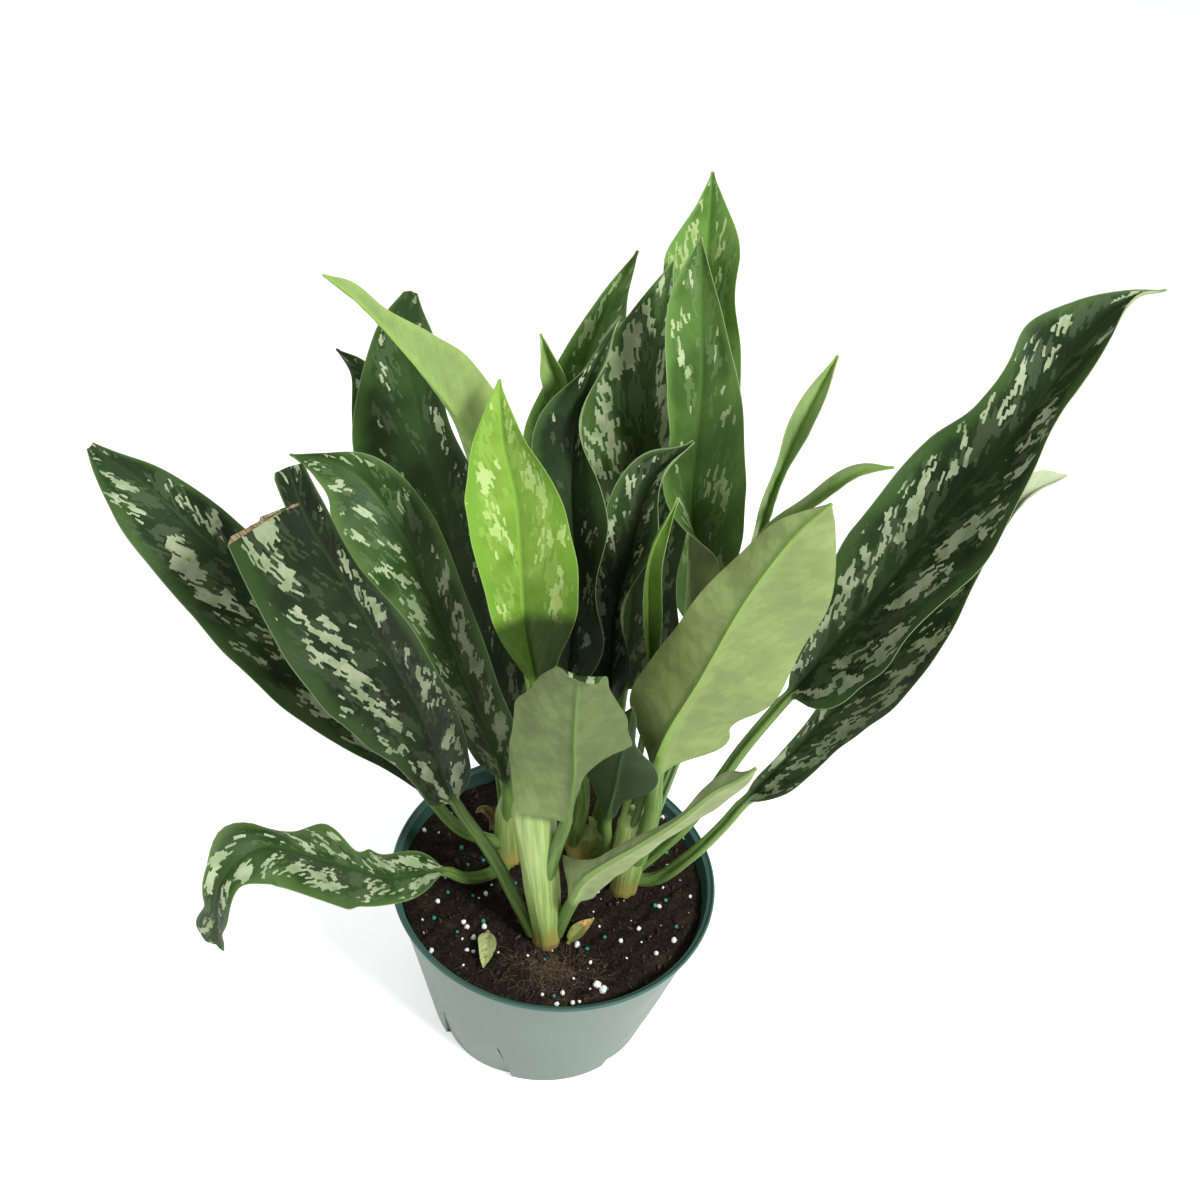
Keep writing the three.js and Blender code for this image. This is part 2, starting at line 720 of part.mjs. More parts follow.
const SHOOTS = [
  {
    name: "shoot_front",
    points: [[0, -34, 62], [0, -35, 88], [-5, -37, 130], [-11, -38, 172], [-13, -37, 186]],
    radii: [[5, 5], [7, 7], [9, 7.5], [10.5, 7], [7, 4.5]],
  },
  {
    name: "shoot_right",
    points: [[33, 1, 62], [34, 1, 86], [34, -2, 116], [34, -5, 138], [34, -6, 148]],
    radii: [[5, 5], [7, 7], [8.5, 8], [8, 7.5], [5, 4.5]],
  },
  {
    name: "shoot_left",
    points: [[-23, 9, 62], [-24, 9, 86], [-26, 9, 116], [-26, 9, 132]],
    radii: [[5, 5], [6.5, 6.5], [5.5, 5.5], [3.5, 3.5]],
  },
  {
    name: "shoot_back",
    points: [[13, 21, 62], [13, 21, 86], [13, 21, 100], [13, 21, 106]],
    radii: [[7, 6], [10.5, 8.5], [9, 7.5], [5, 4]],
  },
];

// ---------------------------------------------------------------------------------------------
// Dry bits on the soil
// ---------------------------------------------------------------------------------------------

const DEBRIS = [
  {
    name: "dry_leaf_bit",
    look: "dryLeaf",
    stalk: [[-27, -34, 83]],
    rib: [[-27, -37, 87], [-26, -47, 90], [-26, -57, 88]],
    faces: [0.1, -0.3, 0.9],
    left: [3, 4, 4.5, 3.5, 1.5],
    right: [3, 4.5, 4, 3, 1.5],
    foldLeft: 25,
    foldRight: 15,
    stalkRadius: 1,
    columns: 2,
  },
  {
    name: "dry_sheath",
    look: "drySheath",
    stalk: [[-34, 27, 82]],
    rib: [[-34, 27, 90], [-36, 27, 97], [-39, 26, 101], [-42, 25, 98]],
    faces: [0.5, -0.7, 0.3],
    left: [2, 3, 3, 3, 1],
    right: [2, 3, 3, 3, 1],
    foldLeft: 40,
    foldRight: 40,
    stalkRadius: 1,
    columns: 2,
  },
  {
    name: "dry_bract",
    look: "drySheath",
    stalk: [[10, -37, 82]],
    rib: [[11, -36, 87], [15, -33, 92], [21, -29, 97]],
    faces: [-0.4, -0.6, 0.6],
    left: [4, 4, 3.5, 2.5, 1],
    right: [4, 4, 3.5, 2.5, 1],
    foldLeft: 25,
    foldRight: 25,
    stalkRadius: 1,
    columns: 2,
  },
];

// ---------------------------------------------------------------------------------------------
// Pot and soil
// ---------------------------------------------------------------------------------------------

// Outer radius of the plain wall at a height.
function wallRadius(height) {
  const share = height / (POT.height - POT.rimHeight);
  return THREE.MathUtils.lerp(POT.baseRadius, POT.wallTopRadius, share);
}

// How far the outside steps in at a share of a recess's width, 0 and 1 being its two ends.
function recessAt(share, height) {
  const fade = 1 - smooth(height / POT.recessHeight);
  const bow = (2 * share - 1) ** 2;
  return POT.recessDepth * fade * (POT.recessMiddle + (1 - POT.recessMiddle) * bow);
}

// How much wider a panel is on each side than at its foot, in degrees.
function leanAt(height) {
  return POT.slotLean * Math.min(height, POT.recessHeight);
}

// The directions in which the pot's outline is drawn: { angle, share, side }. share is null on a panel,
// and side says how far a direction leans with the panel's edges, from -1 at its start to 1 at its end.
function potColumns() {
  const list = [];
  const pitch = 360 / POT.feet;
  const recessAngle = pitch - POT.footAngle - 2 * POT.stepAngle;
  for (let foot = 0; foot < POT.feet; foot++) {
    const start = POT.firstFoot + foot * pitch;
    for (let i = 0; i < POT.columns; i++) {
      const share = i / (POT.columns - 1);
      list.push({ angle: start + POT.footAngle * share, share: null, side: 2 * share - 1 });
    }
    for (let i = 0; i < POT.columns; i++) {
      const share = i / (POT.columns - 1);
      const angle = start + POT.footAngle + POT.stepAngle + recessAngle * share;
      list.push({ angle, share, side: 1 - 2 * share });
    }
  }
  return list;
}

// Inner radius of the wall, which steps in as far as the recesses do.
function innerRadius(height) {
  return wallRadius(height) - POT.wall - recessAt(0, height);
}

function potSolid() {
  const rimBottom = POT.height - POT.rimHeight;
  const columns = potColumns();
  const outside = [0, 9, 18, 27, POT.recessHeight].map((height) => [wallRadius(height), height]);
  const rim = [
    [POT.wallTopRadius, rimBottom],
    [POT.rimRadius - 0.5, rimBottom],
    [POT.rimRadius, rimBottom + 0.5],
    [POT.rimRadius, POT.height - 0.5],
    [POT.rimRadius - 0.5, POT.height],
    [POT.rimInnerRadius, POT.height],
  ];
  const inside = [rimBottom, POT.recessHeight, 18, POT.floor].map((height) => [innerRadius(height), height]);
  const profile = [...outside, ...rim, ...inside];
  const points = [];
  for (const [radius, height] of profile) {
    for (const { angle, share, side } of columns) {
      const isOutside = points.length < outside.length * columns.length;
      const inset = isOutside && share !== null ? recessAt(share, height) : 0;
      const turn = radians(angle + side * leanAt(height));
      const reach = radius - inset;
      points.push(new THREE.Vector3(reach * Math.cos(turn), reach * Math.sin(turn), height));
    }
  }
  const under = points.push(new THREE.Vector3(0, 0, 0)) - 1;
  const within = points.push(new THREE.Vector3(0, 0, POT.floor)) - 1;
  const count = columns.length;
  const last = (profile.length - 1) * count;
  const index = [];
  for (let j = 0; j < count; j++) {
    const next = (j + 1) % count;
    index.push(under, next, j);
    index.push(within, last + j, last + next);
    for (let i = 0; i < profile.length - 1; i++) {
      const a = i * count + j;
      const b = i * count + next;
      index.push(a, b, b + count, a, b + count, a + count);
    }
  }
  let pot = solidOf(new THREE.BufferGeometry().setFromPoints(points).setIndex(index));
  const pitch = 360 / POT.feet;
  for (let foot = 0; foot < POT.feet; foot++) {
    for (const side of [-1, 1]) {
      const edge = side < 0 ? -POT.stepAngle / 2 : POT.footAngle + POT.stepAngle / 2;
      const tilt = Math.atan(radians(POT.slotLean) * wallRadius(POT.slotHeight / 2));
      const slot = new THREE.BoxGeometry(POT.slotDepth, POT.slotWidth, POT.slotHeight);
      slot.translate(0, 0, POT.slotHeight / 2);
      slot.rotateX(-side * tilt);
      slot.translate(POT.baseRadius + POT.wall, 0, POT.slotBottom);
      const angle = POT.firstFoot + foot * pitch + edge + side * leanAt(POT.slotBottom);
      slot.rotateZ(radians(angle));
      pot = pot.subtract(solidOf(slot));
    }
  }
  return pot;
}

// Height of the soil at a place: a low mound with lumps of a few sizes.
function soilHeight(x, y) {
  const reach = Math.hypot(x, y) / (POT.rimInnerRadius - 3);
  const lumps =
    Math.sin(x * 0.31 + 1.3) * Math.cos(y * 0.27 - 0.4) +
    0.6 * Math.sin(x * 0.62 - y * 0.49 + 2.1) +
    0.4 * Math.cos(x * 0.93 + y * 1.07);
  return SOIL.edgeHeight + SOIL.mound * (1 - reach ** 2) + SOIL.lump * lumps * (1 - 0.6 * reach ** 4);
}

function soilSolid() {
  const floor = POT.floor + CLEARANCE;
  const inside = (height) => innerRadius(height) - CLEARANCE * 2;
  const edge = inside(SOIL.edgeHeight);
  const rings = SOIL.rings;
  const sides = SOIL.sides;
  const points = [new THREE.Vector3(0, 0, soilHeight(0, 0))];
  const index = [];
  const ringStarts = [];
  const addRing = (radius, heightAt) => {
    ringStarts.push(points.length);
    for (let j = 0; j < sides; j++) {
      const angle = (2 * Math.PI * j) / sides;
      const x = radius * Math.cos(angle);
      const y = radius * Math.sin(angle);
      points.push(new THREE.Vector3(x, y, heightAt(x, y)));
    }
  };
  for (let i = 1; i <= rings; i++) addRing((edge * i) / rings, soilHeight);
  for (const height of [POT.recessHeight, 18, floor]) addRing(inside(height), () => height);
  for (let j = 0; j < sides; j++) {
    index.push(0, ringStarts[0] + j, ringStarts[0] + ((j + 1) % sides));
  }
  for (let i = 0; i < ringStarts.length - 1; i++) {
    for (let j = 0; j < sides; j++) {
      const a = ringStarts[i] + j;
      const b = ringStarts[i] + ((j + 1) % sides);
      const c = ringStarts[i + 1] + ((j + 1) % sides);
      const d = ringStarts[i + 1] + j;
      index.push(a, d, c, a, c, b);
    }
  }
  const under = points.length;
  points.push(new THREE.Vector3(0, 0, floor));
  const lastRing = ringStarts.at(-1);
  for (let j = 0; j < sides; j++) index.push(under, lastRing + ((j + 1) % sides), lastRing + j);
  const geometry = new THREE.BufferGeometry().setFromPoints(points).setIndex(index);
  let soil = solidOf(geometry);

  // Grains and prills, half sunk into the top.
  const random = randomFrom(SOIL.seed);
  for (let i = 0; i < SOIL.grains + SOIL.prills; i++) {
    const grain = i < SOIL.grains;
    const size = (grain ? SOIL.grainSize : SOIL.prillSize) * (0.7 + 0.6 * random());
    const radius = (edge - 4) * Math.sqrt(random());
    const angle = 2 * Math.PI * random();
    const x = radius * Math.cos(angle);
    const y = radius * Math.sin(angle);
    const body = new THREE.OctahedronGeometry(size);
    body.rotateZ(6 * random());
    body.translate(x, y, soilHeight(x, y) + size * 0.25);
    soil = soil.add(solidOf(body));
  }
  return soil;
}

// ---------------------------------------------------------------------------------------------
// Assembly
// ---------------------------------------------------------------------------------------------

const plant = new THREE.Group();

function addMesh(name, geometry, colour, roughness) {
  const material = new THREE.MeshStandardMaterial({ color: colour, roughness, metalness: 0 });
  const mesh = new THREE.Mesh(geometry, material);
  mesh.name = name;
  plant.add(mesh);
}

const stalks = [...LEAVES, ...DEBRIS];
const sockets = stalks.map((leaf) => solidOf(loft(leafRings(leaf, CLEARANCE * 1.4, true))));

addMesh("pot", geometryOf(potSolid()), COLOUR.pot, 0.35);

let soil = soilSolid();
for (const shoot of SHOOTS) {
  const grown = shoot.radii.map(([across, deep]) => [across + CLEARANCE * 1.3, deep + CLEARANCE * 1.3]);
  const foot = shoot.points.map((p, i) => (i === 0 ? [p[0], p[1], p[2] - CLEARANCE] : p));
  soil = soil.subtract(solidOf(stemGeometry(foot, grown)));
}
for (const socket of sockets) soil = soil.subtract(socket);
addMesh("soil", geometryOf(soil), COLOUR.soil, 0.95);

for (const shoot of SHOOTS) {
  let body = solidOf(stemGeometry(shoot.points, shoot.radii));
  for (const socket of sockets) body = body.subtract(socket);
  addMesh(shoot.name, geometryOf(body), COLOUR.shoot, 0.5);
}

for (const leaf of stalks) {
  addMesh(leaf.name, geometryOf(solidOf(loft(leafRings(leaf)))), COLOUR[leaf.look], 0.45);
}

export default plant;
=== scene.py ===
# %% [markdown]
# # A potted Chinese evergreen
#
# This lesson dresses a small nursery pot with a clump of long, variegated leaves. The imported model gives
# the true size and place of every piece. Here each one is drawn again with finer meshes, and gets the
# skin that the living plant has. We work in millimetres, as a gardener would measure, and turn them into
# Blender's metres at the moment when a mesh is made.

import math

import bmesh
import bpy
import numpy as np
from mathutils import Euler, Matrix, Vector, noise


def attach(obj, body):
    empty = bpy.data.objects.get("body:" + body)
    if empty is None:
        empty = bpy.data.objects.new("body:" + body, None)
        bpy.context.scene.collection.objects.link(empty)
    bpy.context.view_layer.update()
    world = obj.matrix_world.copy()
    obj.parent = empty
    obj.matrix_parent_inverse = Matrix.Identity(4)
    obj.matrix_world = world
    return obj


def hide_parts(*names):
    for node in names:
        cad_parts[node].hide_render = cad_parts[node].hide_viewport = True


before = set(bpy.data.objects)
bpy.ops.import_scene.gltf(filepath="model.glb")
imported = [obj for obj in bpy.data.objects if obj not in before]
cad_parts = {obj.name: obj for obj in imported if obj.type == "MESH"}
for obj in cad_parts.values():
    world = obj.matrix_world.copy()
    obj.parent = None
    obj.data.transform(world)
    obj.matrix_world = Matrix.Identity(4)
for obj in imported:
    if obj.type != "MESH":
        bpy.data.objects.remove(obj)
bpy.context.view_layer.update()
MM = 0.001
print("nodes to dress:", len(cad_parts))

# %% [markdown]
# ## The camera
#
# The photograph looks down on the plant from about 39 degrees, with the camera turned a little on its own
# axis. A camera is a place, a lens and a rotation. The focal length was measured in pixels of the picture,
# and a 36 mm wide sensor turns it into the lens that Blender wants. The rotation is two turns: first the
# tilt from looking straight down, then the roll about the line of sight.

# %% Set up the camera
PICTURE_WIDTH = 1200
FOCAL_PIXELS = 1430
SENSOR_WIDTH = 36
CAMERA_PLACE = Vector((5, -448, 631)) * MM
LOOK_DOWN = 39.4
ROLL = 7.38

lens = bpy.data.cameras.new("studio_lens")
lens.sensor_width = SENSOR_WIDTH
lens.lens = FOCAL_PIXELS / PICTURE_WIDTH * SENSOR_WIDTH
lens.clip_start = 0.01
camera = bpy.data.objects.new("studio_camera", lens)
bpy.context.scene.collection.objects.link(camera)
tilt = Euler((math.radians(90 - LOOK_DOWN), 0, 0)).to_matrix().to_4x4()
camera.matrix_world = Matrix.Translation(CAMERA_PLACE) @ tilt @ Matrix.Rotation(math.radians(ROLL), 4, "Z")
bpy.context.scene.camera = camera
print("lens, mm:", round(lens.lens, 1))

# %% [markdown]
# ## Light
#
# The plant stands in a soft, pale room. A weak white world lights it from everywhere. The shadows in the
# photograph fall up and to the left, so the main lamp stands in front, on the right. It is small enough
# to draw a leaf's edge on the leaf behind it, and a weak second lamp keeps the left side open.

# %% Light the studio
WORLD_COLOUR = (0.97, 1.0, 0.99, 1)
WORLD_STRENGTH = 0.34
PLANT_MIDDLE = (0, 0, 0.2)
studio = bpy.data.worlds.new("white_tent")
studio.use_nodes = True
sky = studio.node_tree.nodes["Background"]
sky.inputs["Color"].default_value = WORLD_COLOUR
sky.inputs["Strength"].default_value = WORLD_STRENGTH
bpy.context.scene.world = studio
bpy.context.scene.view_settings.view_transform = "Standard"


def soft_lamp(name, place, width, power):
    """A square lamp that shines towards the plant. Place and width are in metres, power is in watts."""
    data = bpy.data.lights.new(name, "AREA")
    data.shape = "SQUARE"
    data.size = width
    data.energy = power
    lamp = bpy.data.objects.new(name, data)
    lamp.location = place
    lamp.rotation_euler = (Vector(PLANT_MIDDLE) - Vector(place)).to_track_quat("-Z", "Y").to_euler()
    bpy.context.scene.collection.objects.link(lamp)


soft_lamp("key_lamp", (0.82, -0.80, 1.30), width=0.34, power=29)
soft_lamp("fill_lamp", (-0.3, 0.1, 1.7), width=0.8, power=6)

# %% [markdown]
# ## A small kit for finishes
#
# A finish is a chain of nodes that ends in the Principled shader. Writing such a chain by hand takes many
# lines, so this kit has one short method for each kind of node that the plant needs. Every method returns
# an output that the next one can take. Numbers that are the same all over a surface are set on the shader
# itself.

# %% The finish kit
class Finish:
    """A material under construction."""

    def __init__(self, name):
        self.material = bpy.data.materials.new(name)
        self.material.use_nodes = True
        self.tree = self.material.node_tree
        self.shader = self.tree.nodes["Principled BSDF"]

    def plug(self, socket, value):
        """Links an output to a socket, or sets a plain number or colour on it."""
        if isinstance(value, bpy.types.NodeSocket):
            self.tree.links.new(value, socket)
        elif value is not None:
            socket.default_value = (*value, 1) if socket.type == "RGBA" and len(value) == 3 else value

    def node(self, kind, inputs=(), **settings):
        """Adds a node, with its settings and its inputs by number or name."""
        made = self.tree.nodes.new(kind)
        for key, value in settings.items():
            setattr(made, key, value)
        for key, value in dict(inputs).items():
            self.plug(made.inputs[key], value)
        return made

    def measure(self, name):
        """A number that the mesh carries at each of its points."""
        return self.node("ShaderNodeAttribute", attribute_name=name).outputs["Fac"]

    def calc(self, operation, *numbers):
        """A sum, named as the Math node names it."""
        return self.node("ShaderNodeMath", enumerate(numbers), operation=operation).outputs[0]

    def plus(self, a, b):
        return self.calc("ADD", a, b)

    def minus(self, a, b):
        return self.calc("SUBTRACT", a, b)

    def times(self, a, b):
        return self.calc("MULTIPLY", a, b)

    def vector(self, x, y=0.0, z=0.0):
        return self.node("ShaderNodeCombineXYZ", {0: x, 1: y, 2: z}).outputs[0]

    def place(self):
        """Where a point is on the object, in metres."""
        return self.node("ShaderNodeTexCoord").outputs["Object"]

    def cloud(self, vector, scale, detail=2.0, rough=0.5):
        """Smooth noise from 0 to 1."""
        inputs = {"Vector": vector, "Scale": scale, "Detail": detail, "Roughness": rough}
        return self.node("ShaderNodeTexNoise", inputs).outputs["Fac"]

    def chance(self, vector):
        """One random number from 0 to 1 for each different vector."""
        return self.node("ShaderNodeTexWhiteNoise", {"Vector": vector}).outputs["Value"]

    def ramp(self, value, low, high, start=0.0, end=1.0):
        """Value taken from low..high to start..end, with eased ends."""
        inputs = {0: value, 1: low, 2: high, 3: start, 4: end}
        return self.node("ShaderNodeMapRange", inputs, interpolation_type="SMOOTHSTEP").outputs[0]

    def blend(self, share, a, b):
        """Colour a where share is 0, and b where it is 1."""
        return self.node("ShaderNodeMix", {0: share, 6: a, 7: b}, data_type="RGBA").outputs[2]

    def bump(self, height, depth):
        """A normal that looks as if height, from 0 to 1, stood depth millimetres proud."""
        inputs = {"Height": height, "Distance": depth * MM, "Strength": 1.0}
        return self.node("ShaderNodeBump", inputs).outputs[0]

    def done(self, colour, roughness, normal=None, **fixed):
        """Plugs the chain into the shader, and sets what is the same all over on its own sockets."""
        self.plug(self.shader.inputs["Base Color"], colour)
        self.plug(self.shader.inputs["Roughness"], roughness)
        self.plug(self.shader.inputs["Normal"], normal)
        for key, value in fixed.items():
            self.shader.inputs[key.replace("_", " ")].default_value = value
        return self.material


print("finish kit ready")

# %% [markdown]
# ## The floor
#
# Under the pot lies a sheet of white paper, much wider than the picture, so that no edge of it shows. It
# is a single square, and its finish keeps a breath of tone, because no real sheet is dead flat. The paper
# glows a little by itself, as lit paper in a studio seems to. It lies a hair below the pot, so that the
# two don't fight over the same place, and it isn't attached to the plant's body.

# %% Lay the floor
FLOOR_SIZE = 6.0
FLOOR_DROP = 0.0002
PAPER_GLOW = 0.65


def white_sheet():
    sheet = Finish("white_sheet")
    tone = sheet.cloud(sheet.place(), 3.0)
    paper = sheet.blend(tone, (0.88, 0.89, 0.89), (0.91, 0.91, 0.91))
    sheet.plug(sheet.shader.inputs["Emission Color"], paper)
    return sheet.done(paper, 0.9, Emission_Strength=PAPER_GLOW, Specular_IOR_Level=0.0)


floor_mesh = bpy.data.meshes.new("floor_sheet")
half_floor = FLOOR_SIZE / 2
corners = [(-half_floor, -half_floor, 0), (half_floor, -half_floor, 0)]
corners += [(half_floor, half_floor, 0), (-half_floor, half_floor, 0)]
floor_mesh.from_pydata(corners, [], [(0, 1, 2, 3)])
floor_mesh.materials.append(white_sheet())
floor_sheet = bpy.data.objects.new("floor_sheet", floor_mesh)
floor_sheet.location.z = -FLOOR_DROP
bpy.context.scene.collection.objects.link(floor_sheet)
print("floor, m:", FLOOR_SIZE)

# %% [markdown]
# ## From points to pieces
#
# Every piece of the plant is a mesh that we compute ourselves. One helper takes points in millimetres,
# faces, and the numbers that each point carries for its finish, and makes the object. Edges sharper than
# an angle are marked sharp, so a thin leaf keeps a crisp margin while its face stays smooth.

# %% The piece maker
def make_piece(name, points, faces, material, replaces=None, measures=None, sharp=50):
    """An object on the plant's body. Measures are the numbers that its points carry."""
    mesh = bpy.data.meshes.new(name)
    mesh.from_pydata((np.asarray(points) * MM).tolist(), [], faces)
    for key, values in (measures or {}).items():
        layer = mesh.attributes.new(key, "FLOAT", "POINT")
        layer.data.foreach_set("value", np.asarray(values, np.float32).ravel())
    mesh.polygons.foreach_set("use_smooth", [True] * len(mesh.polygons))
    mesh.set_sharp_from_angle(angle=math.radians(sharp))
    mesh.materials.append(material)
    piece = bpy.data.objects.new(name, mesh)
    bpy.context.scene.collection.objects.link(piece)
    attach(piece, "root")
    if replaces:
        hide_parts(replaces)
    return piece


def ring_faces(rows, columns, closed_ends=True):
    """Faces of a skin over rows of rings, each with that many points, and its two end caps."""
    faces = []
    for i in range(rows - 1):
        for j in range(columns):
            a = i * columns + j
            b = i * columns + (j + 1) % columns
            faces.append((a, b, b + columns, a + columns))
    if closed_ends:
        faces.append(tuple(range(columns))[::-1])
        last = (rows - 1) * columns
        faces.append(tuple(range(last, last + columns)))
    return faces


def smooth(x):
    """An eased step from 0 to 1."""
    x = np.clip(x, 0, 1)
    return x * x * (3 - 2 * x)


print("helpers ready")

# %% [markdown]
# ## How a leaf is drawn
#
# A leaf of this plant is one thing from its foot to its tip: a stalk that turns into the midrib, with a
# thin blade on either side. So we draw it as one. First comes the line down its middle, a smooth curve
# through a few points. Then the width of each half, given at stations along the blade, and then the
# angle at which each half folds up from the midrib. These few numbers are the ones that the packed
# model was made from, so the fine leaf lies where the plain one does.

# %% The middle line
LINE_STEPS = 60


def middle_line(points):
    """Closely spaced points on a smooth curve through the given ones (a centripetal spline)."""
    points = np.array(points, float)
    ends = np.vstack([2 * points[0] - points[1], points, 2 * points[-1] - points[-2]])
    u = np.linspace(0, 1, LINE_STEPS, endpoint=False)[:, None]
    line = []
    for p0, p1, p2, p3 in zip(ends, ends[1:], ends[2:], ends[3:]):
        d0, d1, d2 = (math.sqrt(np.linalg.norm(b - a)) for a, b in ((p0, p1), (p1, p2), (p2, p3)))
        start = ((p1 - p0) / d0 - (p2 - p0) / (d0 + d1) + (p2 - p1) / d1) * d1
        end = ((p2 - p1) / d1 - (p3 - p1) / (d1 + d2) + (p3 - p2) / d2) * d1
        bend = 3 * (p2 - p1) - 2 * start - end
        twist = 2 * (p1 - p2) + start + end
        line.append(p1 + start * u + bend * u**2 + twist * u**3)
    return np.vstack([*line, points[-1:]])


print("a sample line has", len(middle_line([(0, 0, 0), (0, 0, 50), (10, 0, 90)])), "points")

# %% The folds and the widths
STATIONS = (0.1, 0.3, 0.5, 0.7, 0.9)
USUAL_ROUNDNESS = 1.35
NARROWEST = 0.4


def eased(values, t):
    """Values spread evenly from 0 to 1, with an eased change from each to the next."""
    values = np.atleast_1d(np.array(values, float))
    if len(values) == 1:
        return np.full_like(t, values[0])
    place = np.clip(t, 0, 1) * (len(values) - 1)
    index = np.minimum(place.astype(int), len(values) - 2)
    return values[index] + (values[index + 1] - values[index]) * smooth(place - index)


def half_width(widths, t, leaf):
    """Half width of a blade at each t: a smooth line through the widths at the stations."""
    at = np.array([0, *leaf.get("stations", STATIONS), 1])
    width = np.array([0, *widths, leaf.get("tip_width", 0)], float)
    slope = np.diff(width) / np.diff(at)
    tangent = [slope[0] * leaf.get("roundness", USUAL_ROUNDNESS)]
    for i in range(1, len(slope)):
        before, after = at[i] - at[i - 1], at[i + 1] - at[i]
        mean = (slope[i - 1] * after + slope[i] * before) / (before + after)
        limit = min(abs(mean), 3 * abs(slope[i]), 3 * abs(slope[i - 1]))
        tangent.append(0 if slope[i] * slope[i - 1] <= 0 else math.copysign(limit, mean))
    tangent = np.array([*tangent, slope[-1]])
    i = np.clip(np.searchsorted(at, t, side="right") - 1, 0, len(at) - 2)
    span = at[i + 1] - at[i]
    q = (t - at[i]) / span
    value = (2 * q**3 - 3 * q**2 + 1) * width[i] + (q**3 - 2 * q**2 + q) * span * tangent[i]
    value += (3 * q**2 - 2 * q**3) * width[i + 1] + (q**3 - q**2) * span * tangent[i + 1]
    return np.maximum(value, NARROWEST)


print("narrowest half blade, mm:", NARROWEST)

# %% [markdown]
# ## Rings along a leaf
#
# The skin of a leaf is stretched over rings, as cloth is over hoops. The rings stand closer in the blade
# than in the stalk, and closest at a tear. Each one needs to know where the upper face looks. We say so
# at one ring and carry the direction along the leaf, turning it no more than the middle line bends.

# %% Rings along a leaf
COLUMNS = 14
BLADE_STEP = 2.4
STALK_STEP = 4.0
FEWEST_STALK_RINGS = 4
FEWEST_BLADE_RINGS = 24
FACING_SHARE = 0.45
TEAR_RINGS = (-0.016, -0.010, -0.005, -0.002, 0.0, 0.002)


def carried_frames(tangents, facing, start):
    """The upper-face direction at every ring, set at one ring and carried both ways without spin."""
    normals = np.zeros_like(tangents)

    def square(normal, tangent):
        normal = normal - tangent * (normal @ tangent)
        return normal / np.linalg.norm(normal)

    normals[start] = square(np.array(facing, float), tangents[start])
    for i in range(start + 1, len(tangents)):
        normals[i] = square(normals[i - 1], tangents[i])
    for i in range(start - 1, -1, -1):
        normals[i] = square(normals[i + 1], tangents[i])
    return normals


def leaf_rings(leaf):
    """The rings' distances from the foot, centres and directions, and the lengths of stalk and blade."""
    line = middle_line([*leaf["stalk"], *leaf["rib"]])
    steps = np.linalg.norm(np.diff(line, axis=0), axis=1)
    walked = np.concatenate([[0], np.cumsum(steps)])
    stalk_length = walked[LINE_STEPS * len(leaf["stalk"])]
    blade_length = walked[-1] - stalk_length
    stalk_rings = max(FEWEST_STALK_RINGS, round(stalk_length / STALK_STEP))
    blade_rings = max(FEWEST_BLADE_RINGS, round(blade_length / BLADE_STEP))
    at = np.concatenate([
        stalk_length * np.arange(stalk_rings) / stalk_rings,
        stalk_length + blade_length * np.linspace(0, 1, blade_rings + 1),
    ])
    if "torn" in leaf:
        at = np.sort(np.append(at, stalk_length + blade_length * (leaf["torn"] + np.array(TEAR_RINGS))))
        blade_rings = len(at) - stalk_rings - 1
    centre = np.stack([np.interp(at, walked, line[:, k]) for k in range(3)], 1)
    slope = np.gradient(line, walked, axis=0)
    tangent = np.stack([np.interp(at, walked, slope[:, k]) for k in range(3)], 1)
    tangent /= np.linalg.norm(tangent, axis=1)[:, None]
    normal = carried_frames(tangent, leaf["faces"], stalk_rings + round(blade_rings * FACING_SHARE))
    return at, centre, tangent, normal, stalk_length, blade_length


print("columns across a leaf:", 2 * COLUMNS + 1)

# %% [markdown]
# ## The leaf's section
#
# Cut across, a leaf is two shallow wings that rise from the midrib and curl a little, with a soft wave
# that grows towards the margin. The stalk is round with a groove in front. The two shapes are mixed over
# a short stretch, where the stalk flattens into the blade. On top of that come the small things that
# make a leaf look alive: the crease over the midrib, faint quilting between the side veins, and a loose
# ripple that no two leaves share. A sculpted leaf could have all this too, but it would be one leaf, and
# we need twenty-four.

# %% The relief of a blade
LEAF_THICKNESS = 0.5
MARGIN_THICKNESS = 0.25
RIB_DEPTH = 0.45
RIB_WIDTH = 0.35
RIB_FOOT = 1.0
RIB_FADE = 0.1
QUILT_HEIGHT = 0.16
VEIN_PITCH = 8.0
VEIN_LEAN = 1.7
VEIN_SWEEP = 0.02
RIPPLE = 0.9
RIPPLE_LENGTH = 21
RIPPLE_BREADTH = 15
SEED_STEP = 7.3
STILL_ENDS = 0.12
WAVE_LAG = 2.1
WAVE_REACH = 2.2


def wing(width, fold, curl, q):
    """Outline of one half in section: how far out and how far up it is at each share q."""
    start = fold - curl / 2
    angle = start + curl * q
    out = width * (np.sin(angle) - np.sin(start)) / curl
    up = width * (np.cos(start) - np.cos(angle)) / curl
    return out, up, angle


